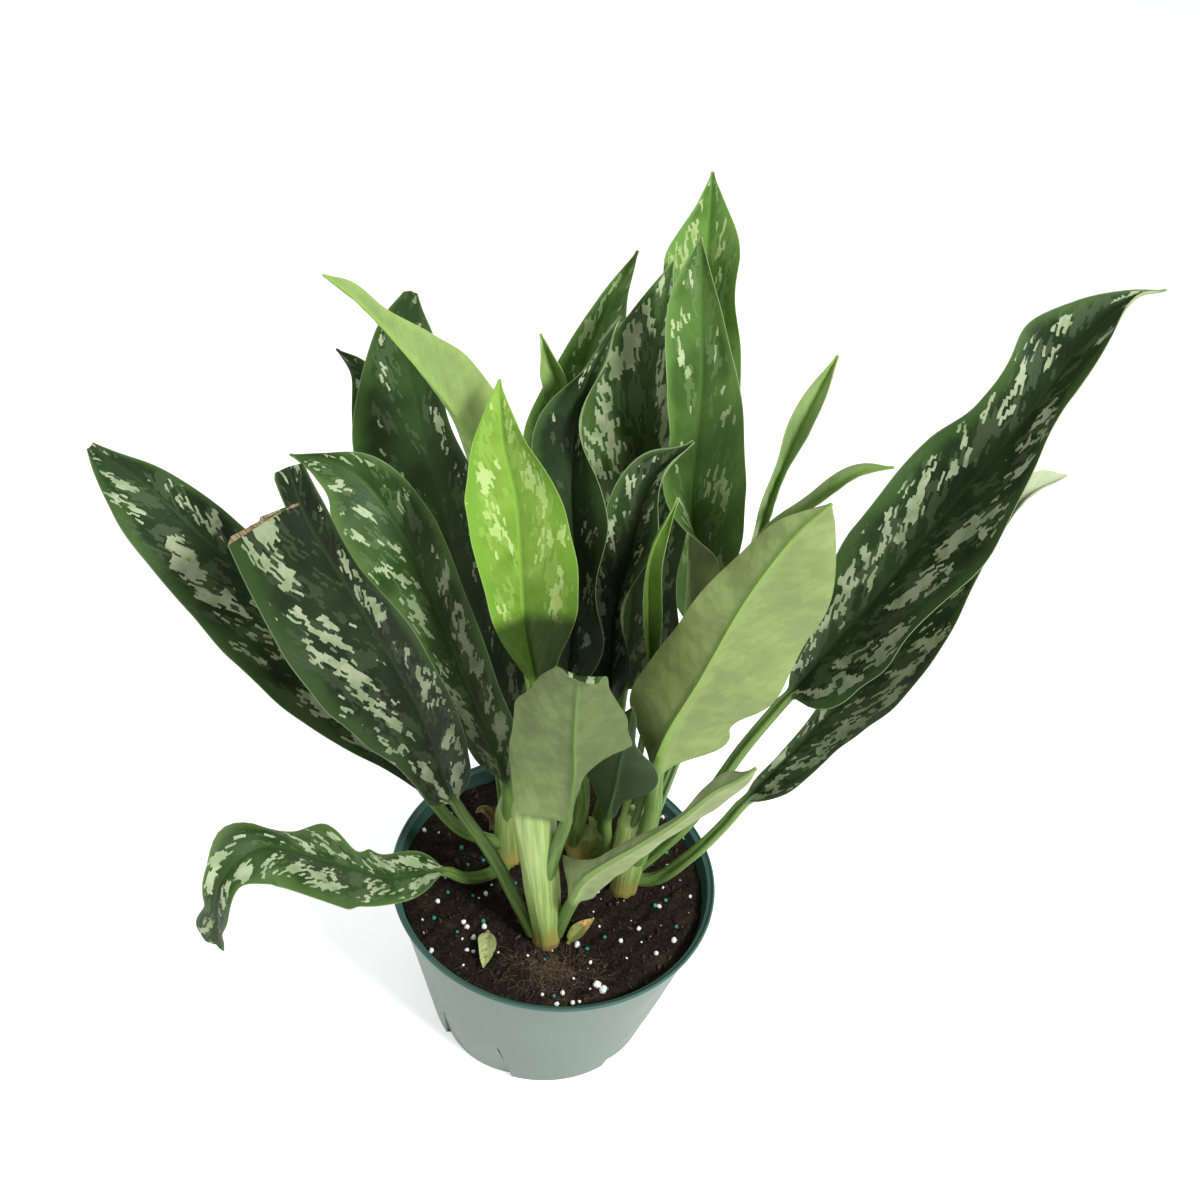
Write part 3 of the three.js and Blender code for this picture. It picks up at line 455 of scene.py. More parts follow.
def blade_relief(leaf, seed, t, c, q, along, distance, vein):
    """How far each point stands off the smooth wing: the wave, the ripple and the quilting."""
    height, count, phase = leaf.get("wave", (0, 1, 0))
    fade = smooth(t / STILL_ENDS) * smooth((1 - t) / STILL_ENDS)
    turn = 2 * math.pi * count * t + phase + np.where(c > 0, WAVE_LAG, 0)
    wave = height * q**WAVE_REACH * np.sin(turn) * fade
    ripple = [
        [noise.noise((a / RIPPLE_LENGTH, d / RIPPLE_BREADTH, seed * SEED_STEP)) for a, d in zip(*rows)]
        for rows in zip(along, distance)
    ]
    ripple = RIPPLE * np.array(ripple) * smooth(q * 1.6) * fade
    quilt = QUILT_HEIGHT * np.cos(2 * math.pi * vein / VEIN_PITCH)
    return wave + ripple + quilt * smooth(q * 5) * smooth((1 - q) * 4) * fade


def blade_thickness(radius, mean_width, t, q):
    """Thin at the margin, thicker inside, and a rounded midrib below that fades towards the tip."""
    foot = RIB_FOOT * np.exp(-t / RIB_FADE)
    ridge = q * mean_width / (radius * (RIB_WIDTH + foot) * (1 - 0.4 * t))
    rib = radius * (RIB_DEPTH + foot) * (1 - 0.8 * t) * np.exp(-(ridge**2))
    return MARGIN_THICKNESS + (LEAF_THICKNESS - MARGIN_THICKNESS) * smooth((1 - q) * 6) + rib


print("quilting, mm:", QUILT_HEIGHT)

# %% [markdown]
# ## A torn end
#
# One leaf has lost the end of its left half. The blade there stops at a ragged line, and the line is dry
# and brown. We end the half early, pull the last rings a little along the leaf by a noise, and let the
# points near the edge carry a number, the scar, for the finish to colour.

# %% The tear
TEAR_STUB = 7
TEAR_SCAR = 0.6
TEAR_JAG = 3.6
TEAR_PULL = 3
TEAR_SPAN = 36


def tear(leaf, seed, t, c, blade_length):
    """How far the blade is pulled along the leaf at each point, and how scarred it is there."""
    gap = (leaf["torn"] - t) * blade_length
    kept = (c < 0) & (gap >= 0)
    places = np.linspace(-TEAR_SPAN, 0, c.shape[1])
    jag = np.array([noise.noise((d * 0.9, seed, 0)) + 0.6 * noise.noise((d * 3.1, seed, 5)) for d in places])
    pull = TEAR_JAG * jag[None] * np.where(kept, np.exp(-gap / TEAR_PULL), 0)
    return pull, np.where(kept, np.exp(-gap / TEAR_SCAR), 0.0)


print("the tear's scar, mm:", TEAR_SCAR)

# %% [markdown]
# ## The whole leaf
#
# The leaf maker puts it together: the rings, the stalk's circle that turns into the blade's two wings,
# and the skin over them. Each point also carries what the finish needs to know about its place on the
# leaf, such as how far it is along the blade, across it, and from the margin.

# %% The stalk and the faces
STALK_FLARE = 0.3
STALK_TAPER = 0.75
GROOVE_DEPTH = 0.5
GROOVE_WIDTH = 0.3
GROOVE_START = 6
GROOVE_GROWTH = 20


def stalk_section(radius, at, t, c, stalk_length):
    """The stalk's circle, cut open at its sides, and the groove along its upper face."""
    flare = 1 + STALK_FLARE * (1 - np.minimum(at / stalk_length, 1))[:, None]
    reach = radius * (1 - STALK_TAPER * t) * flare
    circle = math.pi * (1 - (c + 1) / 2)
    growth = smooth((at[:, None] - GROOVE_START) / GROOVE_GROWTH)
    groove = GROOVE_DEPTH * np.exp(-((c / GROOVE_WIDTH) ** 2)) * reach * growth
    return np.cos(circle) * reach, np.sin(circle) * reach, groove


def leaf_faces(rows, columns):
    """The skin over the rings, and a strip of quads that closes the foot and the tip."""
    faces = ring_faces(rows, columns, closed_ends=False)
    last = (rows - 1) * columns
    for j in range(columns // 2 - 1):
        quad = (j, j + 1, columns - 2 - j, columns - 1 - j)
        faces.append(quad[::-1])
        faces.append(tuple(last + k for k in quad))
    return [face[::-1] for face in faces]


print("a leaf of 50 rings has", len(leaf_faces(50, 2 * (2 * COLUMNS + 1))), "faces")

# %% The leaf maker
STALK_RADIUS = 2.6
STALK_SINK = 0.2
BLEND_LENGTH = 12
BLEND_EARLY = 4
EDGE_CROWDING = 1.3
USUAL_CURL = 15
CREASE_DEPTH = 0.7
CREASE_WIDTH = 1.4
CREASE_BELOW = 0.3
SEAM = 0.15


def leaf_shape(leaf, seed):
    """Points, faces and the numbers that the finish needs, of one whole leaf."""
    at, centre, tangent, normal, stalk_length, blade_length = leaf_rings(leaf)
    binormal = np.cross(tangent, normal)
    t = np.clip((at - stalk_length) / blade_length, 0, 1)[:, None]
    c = np.linspace(-1, 1, 2 * COLUMNS + 1)[None, :]
    side = np.where(c < 0, -1.0, 1.0)
    q = np.abs(c) ** EDGE_CROWDING
    left = half_width(leaf["left"], t[:, 0], leaf)[:, None]
    right = half_width(leaf["right"], t[:, 0], leaf)[:, None]
    pull, scar = np.zeros_like(t * c), np.zeros_like(t * c)
    if "torn" in leaf:
        left = np.where(t > leaf["torn"], np.minimum(left, TEAR_STUB), left)
        pull, scar = tear(leaf, seed, t, c, blade_length)
    width = np.where(c < 0, left, right)
    fold = np.where(c < 0, eased(leaf["fold_left"], t), eased(leaf["fold_right"], t))
    out, up, angle = wing(width, np.radians(fold), math.radians(leaf.get("curl", USUAL_CURL)), q)
    out_x, out_y = -np.sin(side * angle), np.cos(side * angle)

    distance = side * q * width
    along = (at - stalk_length)[:, None] + 0 * c
    vein = along - VEIN_LEAN * np.abs(distance) - VEIN_SWEEP * distance**2
    lift = blade_relief(leaf, seed, t, c, q, along, distance, vein)
    radius = leaf.get("stalk_radius", STALK_RADIUS)
    thick = blade_thickness(radius, (left + right) / 2, t, q)
    crease = CREASE_DEPTH * np.exp(-((distance / CREASE_WIDTH) ** 2)) * (1 - 0.7 * t)
    tube_x, tube_y, groove = stalk_section(radius, at, t, c, stalk_length)
    sink = radius * STALK_SINK
    flat = smooth((at[:, None] - stalk_length + BLEND_EARLY) / BLEND_LENGTH)

    def mixed(tube, blade):
        return tube + (blade - tube) * flat

    top_x = mixed(tube_x, side * out + out_x * lift)
    top_y = mixed(tube_y - sink - groove, up - crease + out_y * lift)
    low_x = mixed(tube_x, side * out + out_x * (lift - thick))
    low_y = mixed(-tube_y - sink, up - crease * CREASE_BELOW + out_y * (lift - thick))
    top_y[:, [0, -1]] += SEAM * (1 - flat)
    low_y[:, [0, -1]] -= SEAM * (1 - flat)

    def placed(x, y):
        pulled = pull[..., None] * tangent[:, None] + centre[:, None]
        return pulled + binormal[:, None] * x[..., None] + normal[:, None] * y[..., None]

    def both(values):
        values = values + 0 * c * t
        return np.concatenate([values, values[:, ::-1]], axis=1)

    points = np.concatenate([placed(top_x, top_y), placed(low_x, low_y)[:, ::-1]], axis=1)
    measures = {
        "along": both(along), "across": both(distance), "vein": both(vein), "reach": both(q),
        "share": both(t), "margin": both(width * (1 - q)), "stalk": both(1 - flat), "scar": both(scar),
        "top": np.concatenate([np.ones_like(distance), np.zeros_like(distance)], axis=1),
    }
    return points.reshape(-1, 3), leaf_faces(len(at), points.shape[1]), measures


print("points on one ring:", 2 * (2 * COLUMNS + 1))

# %% [markdown]
# ## The skin of a leaf
#
# The dark green blade carries pale, ragged blotches: patches where the leaf makes no green. Its colours
# change with age. Old leaves are nearly black-green, newer ones are a clear green, and the youngest are
# yellow-green. A palette names the colours of one age, and a leaf takes a palette, or a mix of two.

# %% The palettes
MATURE = {
    "deep": (0.010, 0.024, 0.007), "green": (0.026, 0.055, 0.015), "grey": (0.078, 0.115, 0.055),
    "rim": (0.055, 0.108, 0.028), "pale": (0.27, 0.35, 0.19), "light": (0.42, 0.49, 0.31),
    "under": (0.24, 0.31, 0.14), "rib": (0.026, 0.054, 0.014), "rib_light": (0.30, 0.42, 0.16),
    "stalk": (0.085, 0.155, 0.035), "stalk_light": (0.17, 0.27, 0.07),
}
FRESH = {
    "deep": (0.046, 0.110, 0.018), "green": (0.098, 0.200, 0.038), "grey": (0.150, 0.245, 0.085),
    "rim": (0.125, 0.245, 0.052), "pale": (0.31, 0.41, 0.17), "light": (0.45, 0.53, 0.29),
    "under": (0.30, 0.40, 0.15), "rib": (0.080, 0.170, 0.030), "rib_light": (0.32, 0.45, 0.17),
    "stalk": (0.10, 0.19, 0.04), "stalk_light": (0.20, 0.32, 0.08),
}
YOUNG = {
    "deep": (0.100, 0.210, 0.018), "green": (0.200, 0.350, 0.046), "grey": (0.25, 0.42, 0.075),
    "rim": (0.150, 0.310, 0.030), "pale": (0.36, 0.49, 0.13), "light": (0.42, 0.55, 0.20),
    "under": (0.30, 0.43, 0.13), "rib": (0.19, 0.36, 0.04), "rib_light": (0.38, 0.54, 0.18),
    "stalk": (0.15, 0.25, 0.05), "stalk_light": (0.28, 0.42, 0.10),
}
SPEAR = YOUNG | {
    "deep": (0.17, 0.27, 0.09), "green": (0.28, 0.40, 0.16), "rim": (0.24, 0.33, 0.12),
    "under": (0.25, 0.37, 0.14), "stalk": (0.12, 0.20, 0.06), "stalk_light": (0.20, 0.30, 0.11),
}
BLOTCH_DIMMING = 0.55


def between(one, other, share):
    """A palette part of the way from one to another. A negative share darkens the first one instead."""
    if share < 0:
        dim = {key: 1 + share * (BLOTCH_DIMMING if key in ("pale", "light") else 1) for key in one}
        return {key: tuple(v * dim[key] for v in one[key]) for key in one}
    return {key: tuple(a + (b - a) * share for a, b in zip(one[key], other[key])) for key in one}


def scaled(colour, factor):
    return tuple(v * factor for v in colour)


print("leaf palettes:", len(MATURE), "colours each")

# %% [markdown]
# ## The blotches
#
# The pale patches have edges that follow the side veins, so they look like brushed brick-work, long along
# the veins and stepped across them. A smooth noise would give round clouds. So we first cut the blade into
# thin strips along the veins, cut each strip into short cells that don't line up with their neighbours,
# and ask the noise only once for each cell. A band that is strongest half way between midrib and margin
# keeps the blotches where the plant has them, and the midrib and the rim stay green.

# %% Cells and blotches
STRIP = 1.0
CELL = 3.8
STRIPS_PER_PATCH = 5.5
CELL_STRETCH = 17
LEAN_MATURE = 2.5
LEAN_YOUNG = 4.5
BAND_FALL = -0.22
BLOTCH_LEVEL = 0.54
BLOTCH_EDGE = 0.005


def cell_pattern(skin, shift, lean):
    """The blade cut into cells along its veins: each cell's own place, and one random number."""
    slant = 1 / math.sqrt(1 + lean**2)
    along = skin.measure("along")
    across = skin.calc("ABSOLUTE", skin.measure("across"))
    half = skin.calc("SIGN", skin.measure("across"))
    blade = skin.vector(along, skin.measure("across"), shift)
    wobble = skin.times(skin.minus(skin.cloud(blade, 0.22, 2.0), 0.5), 2.6)
    step = skin.minus(skin.times(along, slant), skin.times(across, lean * slant))
    strip = skin.calc("FLOOR", skin.calc("DIVIDE", skin.plus(step, wobble), STRIP))
    offset = skin.times(skin.chance(skin.vector(strip, half, shift)), CELL)
    path = skin.plus(skin.times(along, lean * slant), skin.times(across, slant))
    cell = skin.calc("FLOOR", skin.calc("DIVIDE", skin.plus(path, offset), CELL))
    centre = skin.vector(
        skin.times(strip, STRIP / STRIPS_PER_PATCH),
        skin.times(cell, CELL / CELL_STRETCH),
        skin.plus(skin.times(half, 3.1), shift),
    )
    return centre, skin.chance(skin.vector(strip, cell, skin.plus(half, shift)))


def blotches(skin, shift, lean, amount, ragged, middle, spread):
    """1 on a blotch and 0 beside it. A blotch is where a patch noise, with all that bends it, is high."""
    centre, lot = cell_pattern(skin, shift, lean)
    patch = skin.cloud(centre, 1.0, 2.0, 0.5)
    lot = skin.times(skin.minus(lot, 0.5), ragged)
    away = skin.calc("DIVIDE", skin.minus(skin.measure("reach"), middle), spread)
    band = skin.times(skin.times(away, away), BAND_FALL)
    low = skin.ramp(skin.measure("share"), 0.05, 0.65, 0.03, -0.015)
    total = skin.plus(skin.plus(patch, lot), skin.plus(band, low))
    level = BLOTCH_LEVEL - amount
    return skin.ramp(total, level - BLOTCH_EDGE, level + BLOTCH_EDGE)


print("cells, mm:", STRIP, "by", CELL)

# %% [markdown]
# ## The two faces of a blade
#
# The upper face starts as a dark green that wanders a little, with fine streaks along the side veins and
# a fresher rim. Two layers of blotches lie on it, one faint and one bright, and a thin painted highlight
# runs along the margin. Deep in the clump the leaves' feet get painted shade: the colour itself darkens
# there, and on the young bright leaf the sharp edge of it paints the shadow of the leaf in front. The
# lower face has no blotches. It is paler, soft and mottled, with a bright midrib, painted shade in faint
# folds across it, and painted shade over the half on one side of the midrib.

# %% The blade's colours
# Painted shade on a leaf's foot: its darkness, a wide soft band, and a sharp band that paints a cast shadow.
FOOT_SHADE_SCALE = 0.25
MATURE_SHADE_BAND = (0.0, 0.8)
YOUNG_SHADOW_BAND = (0.235, 0.30)
FOLD_TURN = 0.42


def upper_face(skin, colours, habit, blade, streak, shift):
    """Greens, streaks, a fresher rim, blotches, midrib and a painted margin highlight, then painted foot
    shade and a pale tip.
    """
    tone = skin.cloud(blade, 0.045, 3.0, 0.55)
    colour = skin.blend(skin.ramp(tone, 0.3, 0.7), colours["deep"], colours["green"])
    colour = skin.blend(skin.ramp(streak, 0.40, 0.75, 0, 0.10), colour, colours["grey"])
    uneven = skin.times(skin.minus(tone, 0.5), 0.5)
    rim = skin.ramp(skin.plus(skin.measure("reach"), uneven), 0.62, 0.95, 0, 0.95)
    colour = skin.blend(rim, colour, colours["rim"])
    if not habit.get("plain"):
        lean, amount = habit["lean"], habit.get("amount", 0.0)
        faint = blotches(skin, shift + 1.7, lean, amount + 0.01, ragged=0.22, middle=0.45, spread=0.55)
        colour = skin.blend(skin.times(faint, 0.55), colour, colours["grey"])
        spot = blotches(skin, shift, lean, amount, ragged=0.19, middle=0.52, spread=0.42)
        pale = skin.blend(skin.ramp(skin.cloud(blade, 0.12), 0.35, 0.65), colours["pale"], colours["light"])
        colour = skin.blend(skin.times(spot, 0.93), colour, pale)
    far = skin.calc("ABSOLUTE", skin.measure("across"))
    colour = skin.blend(skin.ramp(far, 0.4, 1.2, 0.85, 0), colour, colours["rib"])
    # Painted highlight: a thin light line along the margin.
    colour = skin.blend(skin.ramp(skin.measure("margin"), 0.05, 0.5, 0.38, 0), colour, colours["light"])
    # Painted shade on the foot, deep in the clump; on the young bright leaf its sharp edge is a painted
    # shadow.
    if habit["shade_foot"]:
        edge = skin.plus(skin.measure("share"), skin.times(skin.measure("across"), -0.0015))
        band = YOUNG_SHADOW_BAND if habit["lean"] == LEAN_YOUNG else MATURE_SHADE_BAND
        foot = skin.ramp(edge, *band, habit["shade_foot"], 0)
        colour = skin.blend(foot, colour, scaled(colours["deep"], FOOT_SHADE_SCALE))
    # A pale tip: a painted sheen on the low right leaf, and the new tip's own pallor.
    if habit.get("pale_tip"):
        tip = skin.ramp(skin.measure("share"), 0.84, 0.93, 0, habit["pale_tip"])
        colour = skin.blend(tip, colour, colours["light"])
    return colour


def lower_face(skin, colours, blade, streak):
    """A soft mottle and streaks, painted shade in faint folds, and painted shade on one side of the bright
    midrib.
    """
    base = colours["under"]
    mottle = skin.cloud(blade, 0.09, 4.0, 0.6)
    colour = skin.blend(skin.ramp(mottle, 0.35, 0.65), scaled(base, 0.80), scaled(base, 1.12))
    colour = skin.blend(skin.ramp(streak, 0.35, 0.75, 0, 0.16), colour, scaled(base, 0.80))
    # Painted shade in faint folds that run with the side veins.
    folds = skin.calc("SINE", skin.times(skin.measure("vein"), FOLD_TURN))
    colour = skin.blend(skin.ramp(folds, 0.2, 1.0, 0, 0.22), colour, scaled(base, 0.7))
    # Painted shade of the fold at the midrib: the left half is darker, fading out just past the midrib.
    side = skin.ramp(skin.measure("across"), 0.4, 3.0, 0.45, 0)
    colour = skin.blend(side, colour, scaled(base, 0.6))
    far = skin.calc("ABSOLUTE", skin.measure("across"))
    return skin.blend(skin.ramp(far, 0.5, 1.1, 0.8, 0), colour, colours["rib_light"])


print("folds repeat every", round(2 * math.pi / FOLD_TURN), "mm")

# %% [markdown]
# ## The finish of a whole leaf
#
# The two faces, the torn edge's dry scar and the fibrous stalk come together in one finish. Each leaf gets
# its own, because its blotches are its own. The shine is soft: a satin upper face, and a duller lower one.

# %% The leaf finish
LEAF_SHINE = 0.16
SEED_SHIFT = 5.17
SCAR_DARK = (0.10, 0.075, 0.04)
SCAR_LIGHT = (0.30, 0.23, 0.12)


def leaf_skin(name, colours, seed, habit):
    """The finish of one leaf: blade from above and from below, scar and stalk."""
    skin = Finish(name)
    shift = seed * SEED_SHIFT
    blade = skin.vector(skin.measure("along"), skin.measure("across"), shift)
    slant = skin.vector(skin.measure("vein"), skin.times(skin.measure("across"), 0.22), shift)
    streak = skin.cloud(slant, 0.55, 3.0, 0.6)
    above = upper_face(skin, colours, habit, blade, streak, shift)
    colour = skin.blend(skin.measure("top"), lower_face(skin, colours, blade, streak), above)

    scar = skin.plus(skin.measure("scar"), skin.times(skin.minus(streak, 0.5), 0.8))
    scar = skin.times(skin.ramp(scar, 0.25, 0.6), skin.ramp(skin.measure("scar"), 0.02, 0.2))
    colour = skin.blend(scar, colour, skin.blend(skin.ramp(streak, 0.4, 0.6), SCAR_DARK, SCAR_LIGHT))

    along, reach = skin.measure("along"), skin.measure("reach")
    fibre = skin.vector(skin.times(along, 0.05), skin.times(reach, 9.0), shift)
    fibre = skin.ramp(skin.cloud(fibre, 1.0, 3.0), 0.3, 0.7)
    stalk = skin.blend(fibre, colours["stalk"], colours["stalk_light"])
    colour = skin.blend(skin.measure("stalk"), colour, stalk)

    fine = skin.cloud(blade, 1.4, 3.0, 0.6)
    rough = skin.ramp(fine, 0.3, 0.7, 0.40, 0.54)
    rough = skin.plus(rough, skin.times(skin.minus(1.0, skin.measure("top")), 0.15))
    height = skin.plus(skin.times(fine, 0.45), skin.times(streak, 0.55))
    return skin.done(colour, rough, skin.bump(height, 0.28), Specular_IOR_Level=LEAF_SHINE)


print("leaf shine:", LEAF_SHINE)

# %% [markdown]
# ## The leaves
#
# Here are the leaves, shoot by shoot. `stalk` and `rib` are points on the middle line, and `faces` is where
# the upper face looks. `left` and `right` are the half widths in millimetres at the `stations`,
# `roundness` says how full the blade starts, and `tip_width` how blunt it ends. The folds are the angles of
# the two halves, `curl` bends each half further, and `wave` is the height, count and start of the wave
# along the margin. `torn` is where the left half ends early.
#
# The rest is for the finish. `fresh` and `spear` move a leaf's palette towards that of a newer leaf, and
# below zero `fresh` darkens it instead. `amount` gives more or fewer blotches, and `plain` none. `lean` is
# how steeply the side veins run forward. `shade_foot` paints shade on the foot, `dark_stalk` darkens the
# stalk, `pale_tip` lightens the tip, as a painted sheen on the low right leaf, and `under` is the colour
# of a lower face that the camera sees.

# %% Leaves of the right shoot
TEN = (0.05, 0.15, 0.25, 0.35, 0.45, 0.55, 0.65, 0.75, 0.85, 0.95)
LEAVES = {
    "leaf_right_long": dict(
        stalk=[(36, 0, 98), (58, -10, 152), (73, -14, 204)],
        rib=[(86, -14, 237), (110, -8, 286), (128, -2, 325), (150, 6, 370), (165, 14, 402), (176, 19, 414),
             (188, 24, 416)],
        faces=(-0.72, -0.45, 0.45),
        stations=(0.05, 0.15, 0.25, 0.35, 0.45, 0.55, 0.65, 0.75, 0.8, 0.87, 0.95),
        left=(6, 14, 20, 24, 24, 22, 17, 18, 20, 12, 2), right=(17, 24, 33, 32, 32, 33, 28, 13, 12, 13, 4),
        fold_left=(42, 34, 34), fold_right=(10, 18, 34), curl=25, wave=(3, 3, 0.3), amount=0.015,
        shade_foot=0.2),
    "leaf_right_low": dict(
        stalk=[(36, 3, 90), (47, 0, 95), (62, -6, 123), (73, -8, 148)],
        rib=[(80, -8, 166), (108, 0, 216), (131, 10, 254), (152, 22, 291), (172, 36, 319), (185, 44, 323)],
        faces=(-0.6, -0.45, 0.6), stations=TEN, left=(3, 4, 5, 8, 12, 14, 13, 9, 7, 6),
        right=(9, 17, 17, 25, 33, 28, 16, 5, 3, 3),
        fold_left=(30, 30, 25), fold_right=(20, 28, 20), curl=30, wave=(2, 2, 0), amount=0.04,
        pale_tip=0.9, shade_foot=0.1),
    "leaf_front_pale": dict(
        stalk=[(38, -7, 118), (40, -16, 160)],
        rib=[(38, -24, 196), (40, -30, 224), (47, -43, 266), (56, -62, 325), (65, -78, 366), (71, -88, 385)],
        faces=(0.1, 0.75, 0.35), stations=(0.04, 0.09, 0.13, 0.2, 0.3, 0.5, 0.7, 0.9),
        left=(22, 29, 27, 29, 33, 33, 27, 12), right=(12, 20, 22, 22, 22, 17, 12, 6), roundness=1.6,
        fold_left=(20, 15, 15), fold_right=(38, 34, 25), curl=12, wave=(2.5, 2.5, 0), stalk_radius=3.4,
        slot="underside", under=(0.275, 0.365, 0.120)),
    "leaf_tallest": dict(
        stalk=[(33, 0, 126), (50, 24, 172)],
        rib=[(56, 44, 213), (48, 52, 274), (40, 58, 329), (30, 61, 380), (26, 63, 421)],
        faces=(-0.1, -0.8, 0.2), stations=TEN, left=(12, 20, 25, 27, 26, 22, 18, 16, 18, 5),
        right=(9, 13, 14, 15, 15, 14, 13, 14, 15, 6),
        fold_left=(30, 28, 25), fold_right=(30, 30, 28), wave=(2, 3.5, 0.8), fresh=1.5, amount=-0.01, lean=5,
        shade_foot=0.9),
    "leaf_tall_rolled": dict(
        stalk=[(33, -3, 134), (42, 4, 195)],
        rib=[(43, 10, 239), (39, 13, 279), (35, 17, 315), (33, 21, 349), (29, 26, 380), (24, 30, 410)],
        faces=(-0.05, -0.8, 0.2), stations=TEN, left=(10, 15, 16, 16, 14, 12, 14, 14, 13, 6),
        right=(10, 15, 20, 23, 23, 20, 17, 12, 8, 3),
        fold_left=(140, 140, 30, 18, 20), fold_right=(25, 20, 25), curl=20, wave=(1, 2, 0), fresh=0.85,
        amount=-0.04, lean=6, shade_foot=0.85),
    "leaf_spear_right": dict(
        stalk=[(41, -3, 134), (51, -7, 215)],
        rib=[(62, -10, 302), (63, -12, 331), (69, -10, 365), (76, -4, 389)],
        faces=(-0.35, -0.85, 0.35), left=(4, 4, 4, 6, 3), right=(3, 3, 3, 6, 4),
        fold_left=50, fold_right=50, curl=40, stalk_radius=1.8, slot="young", plain=True, spear=1.0),
    "leaf_narrow_right": dict(
        stalk=[(32, -9, 136), (44, -17, 240)],
        rib=[(56, -26, 300), (63, -26, 326), (78, -26, 344), (89, -26, 357), (100, -28, 362)],
        faces=(-0.4, -0.3, 0.8), left=(2, 3, 3, 4, 2), right=(3, 4, 5, 5, 2),
        fold_left=30, fold_right=30, stalk_radius=1.5, plain=True, spear=1.0, fresh=-0.25),
    "leaf_spear_centre": dict(
        stalk=[(28, -7, 136), (31, -6, 186)],
        rib=[(30, -8, 231), (26, -10, 265), (23, -11, 298), (29, -12, 326)],
        faces=(0.2, -0.9, 0.2), left=(4, 6, 8, 7, 4), right=(5, 6, 7, 6, 2),
        fold_left=60, fold_right=60, curl=40, stalk_radius=1.4, slot="young", plain=True, spear=0.35),
}
print("right shoot:", len(LEAVES), "leaves")

# %% Leaves of the back shoot
LEAVES |= {
    "leaf_hooked": dict(
        stalk=[(21, 22, 92), (20, 12, 145)],
        rib=[(14, 2, 207), (11, 4, 250), (14, 4, 292), (19, 4, 322), (32, 6, 340)],
        faces=(-0.3, -0.75, 0.4), left=(10, 14, 14, 14, 6), right=(14, 14, 16, 13, 5),
        fold_left=(30, 35, 40), fold_right=45, curl=25, wave=(4, 2, 0)),
    "leaf_wavy": dict(
        stalk=[(8, 17, 94), (9, 12, 133)],
        rib=[(-4, -4, 215), (-6, 2, 270), (-12, 6, 316), (-12, 12, 348), (-2, 18, 379)],
        faces=(-0.2, -0.8, 0.3), left=(13, 16, 14, 15, 5), right=(13, 16, 19, 10, 3),
        fold_left=(35, 35, 40), fold_right=(30, 35, 40), curl=20, wave=(3.5, 2.5, 0), amount=-0.06),
    "leaf_back_broad": dict(
        stalk=[(17, 27, 94), (20, 28, 130)],
        rib=[(20, 26, 191), (18, 30, 263), (15, 34, 320), (14, 42, 356), (16, 52, 389)],
        faces=(-0.3, -0.8, 0.3), left=(14, 18, 24, 28, 12), right=(22, 26, 24, 16, 4),
        fold_left=(28, 25, 20), fold_right=(20, 20, 25), curl=20, wave=(3, 2.5, 0), fresh=0.35, amount=0.055,
        lean=4, shade_foot=0.75),
    "leaf_back_tall": dict(
        stalk=[(7, 26, 94), (1, 36, 145)],
        rib=[(-4, 44, 201), (-14, 52, 273), (-16, 58, 310), (-10, 66, 348), (2, 76, 380)],
        faces=(-0.2, -0.8, 0.3), stations=TEN, left=(12, 17, 18, 18, 20, 20, 16, 10, 5, 2),
        right=(12, 20, 23, 25, 26, 26, 24, 20, 12, 4),
        fold_left=(22, 20, 20), fold_right=(22, 20, 25), curl=20, wave=(2, 2, 0), fresh=1.1, amount=0.03,
        lean=3.5, shade_foot=0.75),
    "leaf_new_tip": dict(
        stalk=[(12, 21, 98), (8, 20, 140), (-5, 21, 220)],
        rib=[(-21, 25, 324), (-21, 25, 334), (-21, 25, 340), (-22, 25, 347),
             (-25, 26, 354), (-30, 27, 365)],
        faces=(-0.2, -0.9, 0.2), stations=(0.1, 0.25, 0.4, 0.6, 0.8),
        left=(2, 4, 6, 6, 3), right=(2, 4, 6, 7, 4),
        fold_left=40, fold_right=40, curl=20, stalk_radius=1.6, slot="young", plain=True, spear=0.6,
        pale_tip=0.6, dark_stalk=True),
    "leaf_front_small": dict(
        stalk=[(19, 14, 92), (23, 6, 106)],
        rib=[(21, -14, 150), (22, -27, 184), (22, -35, 209), (23, -40, 231), (23, -42, 246)],
        faces=(0.2, 0.75, 0.3), stations=TEN, left=(3, 4, 5, 10, 15, 17, 14, 5, 3, 2),
        right=(3, 9, 15, 17, 17, 15, 12, 8, 5, 3),
        fold_left=(0, 0, 10), fold_right=(20, 20, 10), stalk_radius=2, slot="underside",
        under=(0.046, 0.080, 0.028)),
}
print("with the back shoot:", len(LEAVES), "leaves")

